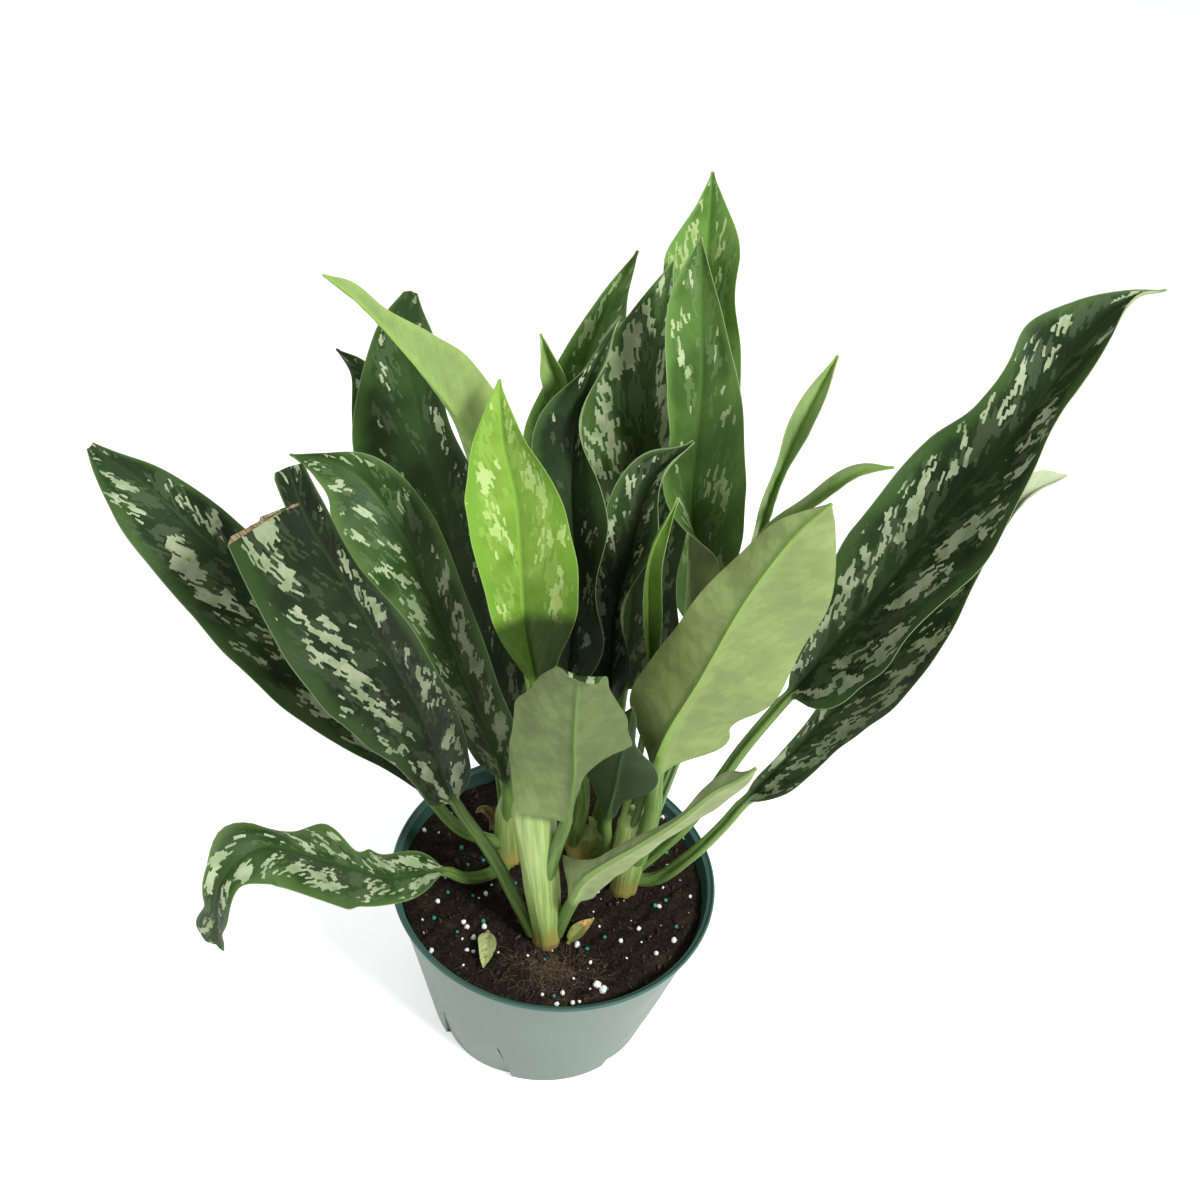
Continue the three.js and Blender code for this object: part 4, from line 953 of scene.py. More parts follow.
# %% Leaves of the front shoot
LEAVES |= {
    "leaf_young_bright": dict(
        stalk=[(-13, -40, 160), (-15, -33, 195)],
        rib=[(-16, -30, 237), (-23, -25, 266), (-31, -14, 317), (-38, -8, 339), (-41, -4, 362)],
        faces=(-0.05, -0.85, 0.3), stations=TEN, left=(3, 8, 12, 14, 17, 19, 19, 15, 10, 4),
        right=(7, 15, 22, 26, 25, 21, 19, 15, 9, 2),
        fold_left=(30, 20, 20), fold_right=(35, 20, 25), wave=(1.5, 2.5, 0), slot="young", shade_foot=0.97),
    "leaf_young_swept": dict(
        stalk=[(-7, -35, 152), (-12, -24, 200)],
        rib=[(-25, -10, 256), (-38, -3, 308), (-54, 4, 336), (-74, 10, 356), (-97, 14, 377), (-109, 16, 384)],
        faces=(0.35, 0.85, 0.1), stations=TEN, left=(4, 7, 10, 13, 17, 18, 18, 13, 6, 4),
        right=(8, 12, 14, 14, 12, 6, 3, 2, 2, 2),
        fold_left=20, fold_right=20, slot="young", under=(0.34, 0.48, 0.15)),
    "leaf_front_folded": dict(
        stalk=[(-3, -39, 130), (0, -42, 158)],
        rib=[(3, -45, 181), (4, -50, 209), (2, -57, 242), (1, -63, 271), (1, -67, 282), (2, -71, 283)],
        faces=(0.05, 0.85, 0.2),
        stations=(0.012, 0.04, 0.1, 0.2, 0.3, 0.38, 0.45, 0.55, 0.65, 0.75, 0.85, 0.95),
        left=(2, 2, 2, 3, 5, 12, 23, 21, 20, 16, 12, 10),
        right=(19, 21, 23, 26, 28, 28, 27, 26, 25, 19, 15, 9),
        roundness=1, tip_width=7, fold_left=(30, 20, 10), fold_right=(-22, 8, 14, 14, 10), slot="underside",
        under=(0.150, 0.205, 0.072)),
    "leaf_front_curled": dict(
        stalk=[(5, -34, 90), (9, -40, 116)],
        rib=[(11, -47, 132), (14, -54, 154), (21, -61, 173), (33, -70, 198), (46, -79, 226),
             (56, -86, 251), (63, -90, 263), (67, -93, 273)],
        faces=(0.3, 0.7, -0.3), stations=(0.03, 0.1, 0.18, 0.28, 0.4, 0.52, 0.64, 0.76, 0.87, 0.95),
        left=(6, 8, 10, 10, 8, 6, 6, 8, 7, 3), right=(19, 12, 7, 5, 5, 4, 3, 6, 6, 2),
        fold_left=(30, 45, 50, 50, 50), fold_right=(20, 45, 50, 50, 50), slot="underside",
        under=(0.31, 0.38, 0.17)),
    "leaf_left_torn": dict(
        stalk=[(-6, -36, 90), (-28, -30, 133)],
        rib=[(-46, -26, 160), (-64, -30, 221), (-88, -32, 274), (-106, -30, 308), (-114, -24, 326)],
        faces=(0.35, -0.7, 0.5), stations=TEN, left=(11, 16, 20, 27, 32, 36, 36, 35, 35, 34),
        right=(9, 13, 14, 15, 14, 13, 11, 9, 9, 7), tip_width=6, torn=0.925,
        # Below zero, fresh darkens the whole leaf: its own dark old tone, with painted shade of the clump on
        # top.
        fold_left=(22, 18, 20), fold_right=(20, 25, 30), wave=(2, 2.5, 0), fresh=-0.45, amount=0.02,
        shade_foot=0.4),
}
print("with the front shoot:", len(LEAVES), "leaves")

# %% Leaves of the left shoot
LEAVES |= {
    "leaf_left_inner": dict(
        stalk=[(-25, 7, 118)],
        rib=[(-26, 5, 139), (-44, 3, 195), (-62, 5, 242), (-78, 8, 278), (-97, 14, 299), (-111, 16, 303),
             (-125, 18, 302)],
        faces=(0.3, -0.7, 0.5), stations=TEN, left=(4, 12, 13, 18, 14, 17, 25, 26, 18, 6),
        right=(8, 12, 13, 13, 13, 14, 15, 14, 11, 2),
        fold_left=(40, 25, 10), fold_right=(20, 20, 25), wave=(2, 3, 0.5), fresh=0.35, lean=3),
    "leaf_left_long": dict(
        stalk=[(-26, 8, 98), (-34, 2, 106), (-46, -4, 118)],
        rib=[(-61, -8, 143), (-87, -12, 192), (-120, -10, 237), (-156, 0, 268), (-183, 10, 285),
             (-207, 20, 292)],
        faces=(0.35, -0.6, 0.6), stations=TEN, left=(4, 11, 18, 24, 30, 31, 27, 25, 22, 10),
        right=(8, 15, 18, 20, 21, 19, 15, 14, 10, 4), tip_width=2,
        fold_left=(22, 20, 20), fold_right=(20, 18, 15), wave=(2, 2.5, 0), amount=0.02, shade_foot=0.4),
    "leaf_drooping": dict(
        stalk=[(-24, 4, 86), (-34, -8, 91), (-42, -14, 96)],
        rib=[(-50, -18, 104), (-72, -40, 121), (-96, -60, 152), (-119, -76, 174), (-131, -88, 166),
             (-135, -92, 128)],
        faces=(-0.1, -0.3, 0.9), stations=(0.06, 0.15, 0.25, 0.35, 0.45, 0.55, 0.63, 0.7, 0.77, 0.86, 0.95),
        left=(5, 11, 14, 18, 24, 23, 19, 15, 8, 9, 5), right=(9, 13, 13, 7, 17, 11, 9, 14, 7, 5, 10),
        tip_width=5,
        fold_left=(5, 5, 10), fold_right=(5, 5, 10), curl=-20, wave=(3, 2.5, 0), fresh=0.15, amount=0.03,
        shade_foot=0),
    "leaf_back_left": dict(
        stalk=[(-25, 13, 112), (-28, 20, 128)],
        rib=[(-33, 28, 146), (-45, 38, 188), (-64, 46, 250), (-81, 54, 312), (-87, 58, 342), (-84, 54, 361)],
        faces=(0.15, -0.85, 0.3), left=(13, 25, 31, 30, 15), right=(18, 28, 24, 14, 12), tip_width=3,
        fold_left=(18, 15, 15), fold_right=(18, 18, 20), curl=20, wave=(2, 2.5, 0), fresh=0.1, amount=-0.03,
        lean=3.5),
    "leaf_rear_left": dict(
        stalk=[(-24, 13, 90), (-38, 38, 142)],
        rib=[(-72, 66, 220), (-97, 76, 276), (-109, 82, 305), (-122, 88, 311)],
        faces=(0.15, -0.85, 0.3), left=(8, 14, 16, 12, 4), right=(8, 14, 14, 10, 3),
        fold_left=15, fold_right=15, curl=20, stalk_radius=2),
}
print("all:", len(LEAVES), "leaves")

# %% [markdown]
# ## Growing them
#
# Each leaf gets a seed of its own, so its ripples and blotches are like its neighbours' and never the
# same. Young leaves take the bright palette, and the others the dark one. Where the camera sees a lower
# face, the table gives that face its own colour, and the midrib there is a greener tint of it.

# %% Make the leaves
# Painted shade on the leaf's foot, by slot, where the table gives none.
SHADE_FOOT = {"variegated": 0.8, "underside": 0.0, "young": 0.0}
RIB_TINT = (0.78, 0.95, 0.60)
for seed, (name, leaf) in enumerate(LEAVES.items(), start=1):
    slot = leaf.get("slot", "variegated")
    young = slot == "young"
    palette = between(YOUNG if young else MATURE, SPEAR, leaf.get("spear", 0.0))
    colours = between(palette, FRESH, leaf.get("fresh", 0.0))
    if "under" in leaf:
        colours["under"] = leaf["under"]
        colours["rib_light"] = tuple(v * tint for v, tint in zip(leaf["under"], RIB_TINT))
    if leaf.get("dark_stalk"):
        colours["stalk"] = colours["stalk_light"] = MATURE["deep"]
    piece_name = name.removeprefix("leaf_") + "_leaf"
    habit = {"lean": LEAN_YOUNG if young else LEAN_MATURE, "shade_foot": SHADE_FOOT[slot]} | leaf
    skin = leaf_skin(piece_name + "_skin", colours, seed, habit)
    points, faces, measures = leaf_shape(leaf, seed)
    make_piece(piece_name, points, faces, skin, name, measures)
print("leaf pieces made")

# %% [markdown]
# ## The shoots
#
# A shoot of this plant is a short stem wrapped in the feet of its leaf stalks. Each foot is a sheath that
# clasps the one inside it, so the shoot isn't round: its edge steps where one sheath ends on the next.
# We draw it as a stack of oval rings and let the radius step at a few places around it. Near the soil
# the tissue is old, yellow and a little corky.

# %% The shoot finish
RAGGED_FOOT = 16
YELLOW_BELOW = (98, 110)
CORKY_BELOW = (90, 97)


def shoot_skin():
    """Pale green fibres that run up the shoot, and an old yellow and corky foot. Heights are in mm."""
    skin = Finish("shoot_sheath")
    fibre = skin.vector(skin.measure("round"), skin.times(skin.measure("height"), 0.005))
    streak = skin.cloud(fibre, 5.0, 4.0, 0.6)
    colour = skin.blend(skin.ramp(streak, 0.3, 0.7), (0.20, 0.31, 0.072), (0.38, 0.50, 0.16))
    foot = skin.plus(skin.measure("height"), skin.times(skin.cloud(skin.place(), 160.0), RAGGED_FOOT))
    colour = skin.blend(skin.ramp(foot, *YELLOW_BELOW, 0.85, 0), colour, (0.40, 0.33, 0.085))
    colour = skin.blend(skin.ramp(foot, *CORKY_BELOW, 0.8, 0), colour, (0.16, 0.10, 0.04))
    return skin.done(colour, skin.ramp(streak, 0.2, 0.8, 0.32, 0.5), skin.bump(streak, 0.5))


shoot_finish = shoot_skin()
print("shoot finish:", shoot_finish.name)

# %% Make the shoots
SHOOTS = {
    "shoot_front": dict(
        points=[(0, -34, 62), (0, -35, 88), (-5, -37, 130), (-11, -38, 172), (-13, -37, 186)],
        radii=[(5, 5), (7, 7), (9, 7.5), (10.5, 7), (7, 4.5)], sheaths=2, phase=0.4),
    "shoot_right": dict(
        points=[(33, 1, 62), (34, 1, 86), (34, -2, 116), (34, -5, 138), (34, -6, 148)],
        radii=[(5, 5), (7, 7), (8.5, 8), (8, 7.5), (5, 4.5)], sheaths=3, phase=1.2),
    "shoot_left": dict(
        points=[(-23, 9, 62), (-24, 9, 86), (-26, 9, 116), (-26, 9, 132)],
        radii=[(5, 5), (6.5, 6.5), (5.5, 5.5), (3.5, 3.5)], sheaths=2, phase=2.0),
    "shoot_back": dict(
        points=[(13, 21, 62), (13, 21, 86), (13, 21, 100), (13, 21, 106)],
        radii=[(7, 6), (10.5, 8.5), (9, 7.5), (5, 4)], sheaths=3, phase=0.0),
}
SHOOT_SIDES = 72
SHOOT_STEP = 2.5
SHEATH_STEP = 0.09
SHEATH_EDGE = 0.93
SHEATH_DROP = 0.07

for name, shoot in SHOOTS.items():
    line = middle_line(shoot["points"])
    rows = round((line[-1, 2] - line[0, 2]) / SHOOT_STEP)
    picks = np.linspace(0, len(line) - 1, rows)
    t = picks / (len(line) - 1)
    middle = np.stack([np.interp(picks, np.arange(len(line)), line[:, k]) for k in range(3)], 1)
    wide = eased([r[0] for r in shoot["radii"]], t)
    deep = eased([r[1] for r in shoot["radii"]], t)
    turn = np.linspace(0, 2 * math.pi, SHOOT_SIDES, endpoint=False)
    lap = (shoot["sheaths"] * turn[None] / (2 * math.pi) + shoot["phase"] + 0.5 * t[:, None]) % 1
    ridge = 1 - SHEATH_STEP * smooth(lap * 1.02) * (1 - smooth((lap - SHEATH_EDGE) / SHEATH_DROP))
    x = middle[:, :1] + wide[:, None] * ridge * np.cos(turn)
    y = middle[:, 1:2] + deep[:, None] * ridge * np.sin(turn)
    z = middle[:, 2:] + 0 * x
    points = np.stack([x, y, z], -1).reshape(-1, 3)
    measures = {"round": np.tile(turn, rows), "height": z}
    faces = ring_faces(rows, SHOOT_SIDES)
    make_piece(name.removeprefix("shoot_") + "_shoot", points, faces, shoot_finish, name, measures)
print("shoots:", len(SHOOTS))

# %% [markdown]
# ## The pot
#
# A thin moulded nursery pot. Its wall leans outwards, a lip runs round the top, and the foot stands out
# in four wide panels with shallow recesses between them. At each step between the two is a narrow drain
# slot. All of it follows from one radius for each height and direction, so we build it as a skin over a
# ring, and cut the slots with a boolean.

# %% The pot's shape
POT_HEIGHT = 92
RIM_RADIUS = 78
RIM_HEIGHT = 2
RIM_INNER_RADIUS = 76.6
WALL_TOP_RADIUS = 76.2
BASE_RADIUS = 56
WALL = 1.6
FLOOR_HEIGHT = 4.5
FEET = 4
FOOT_ANGLE = 47
FIRST_FOOT = -98
RECESS_HEIGHT = 36
RECESS_DEPTH = 1.9
RECESS_MIDDLE = 0.3
STEP_ANGLE = 1.2
SLOT_LEAN = 0.2


def wall_radius(height):
    """The outer radius of a panel at a height."""
    return BASE_RADIUS + (WALL_TOP_RADIUS - BASE_RADIUS) * height / (POT_HEIGHT - RIM_HEIGHT)


def recess_at(share, height):
    """How far a recess lies behind the panels, at each share of its width. It is deepest at its edges."""
    fade = 1 - smooth(height / RECESS_HEIGHT)
    return RECESS_DEPTH * fade * (RECESS_MIDDLE + (1 - RECESS_MIDDLE) * (2 * share - 1) ** 2)


def inner_radius(height):
    return wall_radius(height) - WALL - recess_at(0, height)


def lean_at(height):
    """How much wider a panel is on each side than at its foot, in degrees."""
    return SLOT_LEAN * np.minimum(height, RECESS_HEIGHT)


print("recess depth, mm:", RECESS_DEPTH)

# %% Directions round the pot
PANEL_COLUMNS = 28
RECESS_COLUMNS = 24
directions, recess_shares, lean_sides = [], [], []
for foot in range(FEET):
    start = FIRST_FOOT + foot * 360 / FEET
    recess_angle = 360 / FEET - FOOT_ANGLE - 2 * STEP_ANGLE
    directions += [start + FOOT_ANGLE * i / (PANEL_COLUMNS - 1) for i in range(PANEL_COLUMNS)]
    recess_shares += [np.nan] * PANEL_COLUMNS
    lean_sides += [2 * i / (PANEL_COLUMNS - 1) - 1 for i in range(PANEL_COLUMNS)]
    recess_start = start + FOOT_ANGLE + STEP_ANGLE
    directions += [recess_start + recess_angle * i / (RECESS_COLUMNS - 1) for i in range(RECESS_COLUMNS)]
    recess_shares += [i / (RECESS_COLUMNS - 1) for i in range(RECESS_COLUMNS)]
    lean_sides += [1 - 2 * i / (RECESS_COLUMNS - 1) for i in range(RECESS_COLUMNS)]
recess_shares = np.array(recess_shares)
print("directions:", len(directions))

# %% The pot's skin
WALL_ROWS = 34
INSIDE_ROWS = 20
rim_bottom = POT_HEIGHT - RIM_HEIGHT
foot_round = [(BASE_RADIUS - 1.0, 0), (BASE_RADIUS - 0.3, 0.25), (wall_radius(0.9), 0.9)]
outside = foot_round + [(wall_radius(h), h) for h in np.linspace(2, rim_bottom - 0.4, WALL_ROWS)]
lip = [
    (WALL_TOP_RADIUS + 0.1, rim_bottom - 0.1), (RIM_RADIUS - 0.8, rim_bottom),
    (RIM_RADIUS - 0.2, rim_bottom + 0.3), (RIM_RADIUS, rim_bottom + 0.8),
    (RIM_RADIUS, POT_HEIGHT - 0.9), (RIM_RADIUS - 0.2, POT_HEIGHT - 0.4), (RIM_RADIUS - 0.6, POT_HEIGHT),
    (RIM_INNER_RADIUS + 0.4, POT_HEIGHT), (RIM_INNER_RADIUS + 0.1, POT_HEIGHT - 0.3),
    (RIM_INNER_RADIUS, POT_HEIGHT - 0.9),
]
inside = [(inner_radius(h), h) for h in np.linspace(rim_bottom, FLOOR_HEIGHT, INSIDE_ROWS)]
profile = np.array(outside + lip + inside)
radius, height = profile[:, :1], profile[:, 1:]
is_outside = (np.arange(len(profile)) < len(outside))[:, None]
directions = np.radians(np.array(directions) + lean_at(height) * np.array(lean_sides))
is_recess = ~np.isnan(recess_shares)[None]
inset = np.where(is_outside & is_recess, recess_at(np.nan_to_num(recess_shares)[None], height), 0)
x = (radius - inset) * np.cos(directions)
y = (radius - inset) * np.sin(directions)
points = np.stack([x, y, height + 0 * x], -1).reshape(-1, 3).tolist()
count = len(recess_shares)
faces = ring_faces(len(profile), count, closed_ends=False)
last = (len(profile) - 1) * count
under = len(points)
points += [(0, 0, 0), (0, 0, FLOOR_HEIGHT)]
for j in range(count):
    after = (j + 1) % count
    faces.append((under, after, j))
    faces.append((under + 1, last + j, last + after))
print("pot faces:", len(faces))

# %% [markdown]
# ## The pot's finish
#
# The plastic is a dull teal green, and the lip and the inside show its own colour. The wall is paler and
# greyer than that, with a hazy mottle: a painted reflection of the white room. A fine grain comes from the
# mould.

# %% The pot finish
def pot_plastic():
    skin = Finish("pot_plastic")
    grain = skin.cloud(skin.place(), 900.0, 3.0, 0.6)
    haze = skin.cloud(skin.place(), 28.0, 4.0, 0.6)
    # Painted reflection: the wall is paler and greyer than the teal plastic, standing in for the white room
    # it mirrors.
    wall = skin.blend(skin.ramp(haze, 0.3, 0.7), (0.087, 0.130, 0.110), (0.138, 0.186, 0.163))
    wall = skin.blend(skin.ramp(grain, 0.35, 0.7, 0, 0.35), wall, (0.095, 0.150, 0.125))
    lip_colour = skin.blend(grain, (0.030, 0.088, 0.072), (0.055, 0.125, 0.104))
    colour = skin.blend(skin.measure("lip"), wall, lip_colour)
    rough = skin.ramp(haze, 0.3, 0.7, 0.34, 0.48)
    return skin.done(colour, rough, skin.bump(grain, 0.12), Specular_IOR_Level=0.35)


LIP_FADE = 1.2
INSIDE_SHARE = 0.9
INSIDE_SLACK = 0.8
heights = np.array(points)[:, 2]
reaches = np.hypot(np.array(points)[:, 0], np.array(points)[:, 1])
on_lip = smooth(heights - rim_bottom + LIP_FADE)
within = (reaches < inner_radius(heights) + INSIDE_SLACK) & (heights > FLOOR_HEIGHT - 1)
lip_share = np.maximum(on_lip, within * INSIDE_SHARE)
pot = make_piece("nursery_pot", points, faces, pot_plastic(), "pot", {"lip": lip_share}, sharp=35)
print("share of points on the lip and inside:", round(float((lip_share > 0.5).mean()), 2))

# %% [markdown]
# ## The drain slots
#
# Water leaves the pot through thin slots at the edges of the panels, and they lean as those edges do. A
# boolean cuts them all at once with a cutter of slim boxes, which is quicker than weaving each slot into
# the skin. We keep the cut mesh and take the cutter away.

# %% Cut the drain slots
SLOT_WIDTH = 0.8
SLOT_BOTTOM = 2
SLOT_HEIGHT = 30
SLOT_DEPTH = 22
slot_points, slot_faces = [], []
box_corners = np.array([(x, y, z) for z in (0, 1) for y in (-0.5, 0.5) for x in (-0.5, 0.5)])
box_faces = [(0, 2, 3, 1), (4, 5, 7, 6), (0, 1, 5, 4), (2, 6, 7, 3), (1, 3, 7, 5), (0, 4, 6, 2)]
for foot in range(FEET):
    for edge, side in ((-STEP_ANGLE / 2, -1), (FOOT_ANGLE + STEP_ANGLE / 2, 1)):
        angle = math.radians(FIRST_FOOT + foot * 360 / FEET + edge + side * lean_at(SLOT_BOTTOM))
        tilt = math.atan(math.radians(SLOT_LEAN) * wall_radius(SLOT_HEIGHT / 2))
        box = box_corners * (SLOT_DEPTH, SLOT_WIDTH, SLOT_HEIGHT)
        box = box @ np.array(Matrix.Rotation(-side * tilt, 3, "X")).T
        box = (box + (BASE_RADIUS + WALL, 0, SLOT_BOTTOM)) @ np.array(Matrix.Rotation(angle, 3, "Z")).T
        slot_faces += [tuple(len(slot_points) + k for k in face) for face in box_faces]
        slot_points += box.tolist()
cutter_mesh = bpy.data.meshes.new("slot_cutter")
cutter_mesh.from_pydata((np.array(slot_points) * MM).tolist(), [], slot_faces)
cutter = bpy.data.objects.new("slot_cutter", cutter_mesh)
bpy.context.scene.collection.objects.link(cutter)
cut = pot.modifiers.new("slots", "BOOLEAN")
cut.operation = "DIFFERENCE"
cut.solver = "EXACT"
cut.object = cutter
with_slots = bpy.data.meshes.new_from_object(pot.evaluated_get(bpy.context.evaluated_depsgraph_get()))
pot.modifiers.clear()
pot.data = with_slots
bpy.data.objects.remove(cutter)
print("pot faces with slots:", len(pot.data.polygons))

# %% [markdown]
# ## The soil
#
# Damp potting mix is a low mound of crumbs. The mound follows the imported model. The crumbs are noise at
# three sizes, moved into the mesh itself because the camera is close enough to see their shadows.

# %% The soil's shape
SOIL_EDGE_HEIGHT = 83
SOIL_MOUND = 2.5
SOIL_LUMP = 0.9
SOIL_GAP = 0.6
SOIL_RINGS = 120
SOIL_SIDES = 340
SIDE_HEIGHTS = (70, RECESS_HEIGHT, 18, FLOOR_HEIGHT + 0.3)
CLOD_SCALE = 0.16
CLOD_HEIGHT = 1.1
CRUMB_SCALE = 0.42
BIT_SCALE = 1.1
BIT_HEIGHT = 0.45


def soil_height(x, y):
    """Height of the mound before the crumbs are added."""
    reach = np.hypot(x, y) / (RIM_INNER_RADIUS - 3)
    lumps = np.sin(x * 0.31 + 1.3) * np.cos(y * 0.27 - 0.4)
    lumps = lumps + 0.6 * np.sin(x * 0.62 - y * 0.49 + 2.1) + 0.4 * np.cos(x * 0.93 + y * 1.07)
    return SOIL_EDGE_HEIGHT + SOIL_MOUND * (1 - reach**2) + SOIL_LUMP * lumps * (1 - 0.6 * reach**4)


def crumbs(x, y):
    """Height of the crumbs at a place, in millimetres."""
    clods = noise.fractal(Vector((x * CLOD_SCALE, y * CLOD_SCALE, 4.0)), 1.0, 2.0, 3) * CLOD_HEIGHT
    near = noise.voronoi(Vector((x * CRUMB_SCALE, y * CRUMB_SCALE, 1.0)))[0][0]
    bits = noise.voronoi(Vector((x * BIT_SCALE, y * BIT_SCALE, 2.0)))[0][0]
    return clods + (0.5 - near) + BIT_HEIGHT * (0.5 - bits)


def surface_at(x, y):
    return float(soil_height(x, y)) + crumbs(x, y)


edge = inner_radius(SOIL_EDGE_HEIGHT) - SOIL_GAP
turn = np.linspace(0, 2 * math.pi, SOIL_SIDES, endpoint=False)
soil_points = [(0, 0, surface_at(0, 0))]
soil_faces = [(0, 1 + j, 1 + (j + 1) % SOIL_SIDES) for j in range(SOIL_SIDES)]
for i in range(1, SOIL_RINGS + 1):
    reach = edge * i / SOIL_RINGS
    ring = [(reach * math.cos(a), reach * math.sin(a)) for a in turn]
    soil_points += [(x, y, surface_at(x, y)) for x, y in ring]
for h in SIDE_HEIGHTS:
    reach = inner_radius(h) - SOIL_GAP
    soil_points += [(reach * math.cos(a), reach * math.sin(a), h) for a in turn]
rows = SOIL_RINGS + len(SIDE_HEIGHTS)
for i in range(rows - 1):
    for j in range(SOIL_SIDES):
        a = 1 + i * SOIL_SIDES + j
        b = 1 + i * SOIL_SIDES + (j + 1) % SOIL_SIDES
        soil_faces.append((a, a + SOIL_SIDES, b + SOIL_SIDES, b))
last = 1 + (rows - 1) * SOIL_SIDES
soil_points.append((0, 0, SIDE_HEIGHTS[-1]))
soil_faces += [(len(soil_points) - 1, last + (j + 1) % SOIL_SIDES, last + j) for j in range(SOIL_SIDES)]
print("soil points:", len(soil_points))

# %% [markdown]
# ## The soil's finish
#
# Wet mix is nearly black, with warmer clods and a few pale specks. Where the fine roots lie, brown fibres
# cover it. A noise for each size of crumb gives the tones and the fine relief, and a number on each point
# says how far it is from the roots, because no noise could know that.

# %% The soil finish
ROOT_CENTRE = (5, -51)
ROOT_SPREAD = (12, 7)


def soil_mix():
    """Wet black crumbs with warmer clods, and a brown fibrous patch where the fine roots lie."""
    skin = Finish("potting_mix")
    clod = skin.cloud(skin.place(), 70.0, 4.0, 0.65)
    crumb = skin.cloud(skin.place(), 700.0, 4.0, 0.7)
    colour = skin.blend(skin.ramp(crumb, 0.35, 0.7), (0.003, 0.0025, 0.002), (0.026, 0.017, 0.010))
    colour = skin.blend(skin.ramp(clod, 0.52, 0.72, 0, 0.6), colour, (0.042, 0.027, 0.016))
    fibre_patch = skin.ramp(skin.plus(skin.measure("from_roots"), clod), 0.9, 1.5, 0.9, 0)
    fibres = skin.blend(skin.ramp(crumb, 0.4, 0.65), (0.018, 0.011, 0.007), (0.11, 0.066, 0.038))
    colour = skin.blend(fibre_patch, colour, fibres)
    speck = skin.ramp(skin.cloud(skin.place(), 1500.0, 1.0), 0.66, 0.71)
    colour = skin.blend(skin.times(speck, 0.5), colour, (0.12, 0.08, 0.05))
    rough = skin.ramp(crumb, 0.3, 0.7, 0.6, 0.95)
    return skin.done(colour, rough, skin.bump(crumb, 0.9), Specular_IOR_Level=0.12)


from_roots = np.hypot(*((np.array(soil_points)[:, :2] - ROOT_CENTRE) / ROOT_SPREAD).T)
soil_measures = {"from_roots": from_roots}
make_piece("potting_soil", soil_points, soil_faces, soil_mix(), "soil", soil_measures, sharp=180)
print("points in the fibrous patch:", int((from_roots < 1).sum()))

# %% [markdown]
# ## Small things on the soil
#
# Many small lumps lie on the soil: white grains, feed prills and chips of bark. Each kind could be copies
# of one model, but the eye finds copies. So every lump is a small ball of triangles whose points are moved
# by noise, with a knobbly shape and a turn of its own. The lumps of one kind become one piece. A seeded
# draw places them, so they lie the same way every time.

# %% The scatter
SCATTER_SEED = 7
SOIL_REACH = 69
KNOB_SIZE = 1.6
KNOB_SHIFT = 3.7
rng = np.random.default_rng(SCATTER_SEED)


def ball(subdivisions):
    """Points and faces of a ball of radius 1 made of triangles."""
    grid = bmesh.new()
    bmesh.ops.create_icosphere(grid, subdivisions=subdivisions, radius=1)
    points = np.array([v.co[:] for v in grid.verts])
    faces = [tuple(v.index for v in f.verts) for f in grid.faces]
    grid.free()
    return points, faces


BALL_POINTS, BALL_FACES = ball(2)


def scatter(name, places, sizes, knobs, squash, material, sink=0.2):
    """One piece of many lumps on the soil. Knobs is how rough they are, squash how flat, sink how deep."""
    points, faces = [], []
    for k, ((x, y), size) in enumerate(zip(places, sizes)):
        shift = Vector((k * KNOB_SHIFT, 0, 0))
        bumps = np.array([noise.noise(Vector(p) * KNOB_SIZE + shift) for p in BALL_POINTS])
        lump = BALL_POINTS * (1 + knobs * bumps)[:, None] * size
        lump = lump * (1, squash[0], squash[1])
        spin = np.array(Euler(rng.uniform(0, 6, 3)).to_matrix())
        lump = lump @ spin.T
        centre = (x, y, surface_at(x, y) + size * (1 - 2 * sink) * squash[1])
        faces += [tuple(len(points) + i for i in face) for face in BALL_FACES]
        points += (lump + centre).tolist()
    return make_piece(name, points, faces, material, sharp=180)


def around(count, reach=SOIL_REACH):
    """Seeded places on the soil, in millimetres."""
    radius = reach * np.sqrt(rng.random(count))
    angle = 2 * math.pi * rng.random(count)
    return list(zip(radius * np.cos(angle), radius * np.sin(angle)))


def plain_finish(name, dark, light, scale, rough, depth):
    """Two tones that change with a noise of that scale, and the same noise as a fine relief."""
    skin = Finish(name)
    tone = skin.cloud(skin.place(), scale, 3.0, 0.6)
    colour = skin.blend(skin.ramp(tone, 0.3, 0.7), dark, light)
    return skin.done(colour, rough, skin.bump(tone, depth))


print("points on one lump:", len(BALL_POINTS))

# %% [markdown]
# ## White grains and feed prills
#
# The puffed white grains keep the soil airy, and the round green prills feed the plant. Those that stand
# out in the photograph are placed one by one, because they are the ones a viewer compares. The draw adds
# smaller grains and more prills between them.

# %% White grains and feed prills
MORE_GRAINS = 60
GRAIN_SIZES = (0.95, 1.6)
SMALL_GRAIN_SIZES = (0.25, 0.8)
MORE_PRILLS = 12
PRILL_SIZES = (0.8, 1.25)
SEEN_GRAINS = [
    (-39, -31), (-37, -34), (-33, -39), (-32, -46), (-35, -46), (-29, -33), (-56, -39), (-51, -49),
    (-53, -20), (-31, -14), (26, -56), (29, -58), (22, -45), (43, -23), (52, -35), (35, -31), (15, -36),
    (52, -8), (51, 51), (43, 7), (22, -3), (67, 2), (11, -63), (2, -65), (19, -66), (63, 39), (55, 18),
    (60, -26), (-67, 22), (9, -68), (16, -67),
]
BIG_GRAINS = {(26, -56): 2.1, (29, -58): 2.2}
grain_sizes = rng.uniform(*GRAIN_SIZES, len(SEEN_GRAINS))
grain_sizes = [BIG_GRAINS.get(place, size) for place, size in zip(SEEN_GRAINS, grain_sizes)]
more_grains = around(MORE_GRAINS)
grain_finish = plain_finish("puffed_grain", (0.70, 0.69, 0.64), (0.95, 0.95, 0.93), 900.0, 0.8, 0.2)
all_sizes = [*grain_sizes, *rng.uniform(*SMALL_GRAIN_SIZES, MORE_GRAINS)]
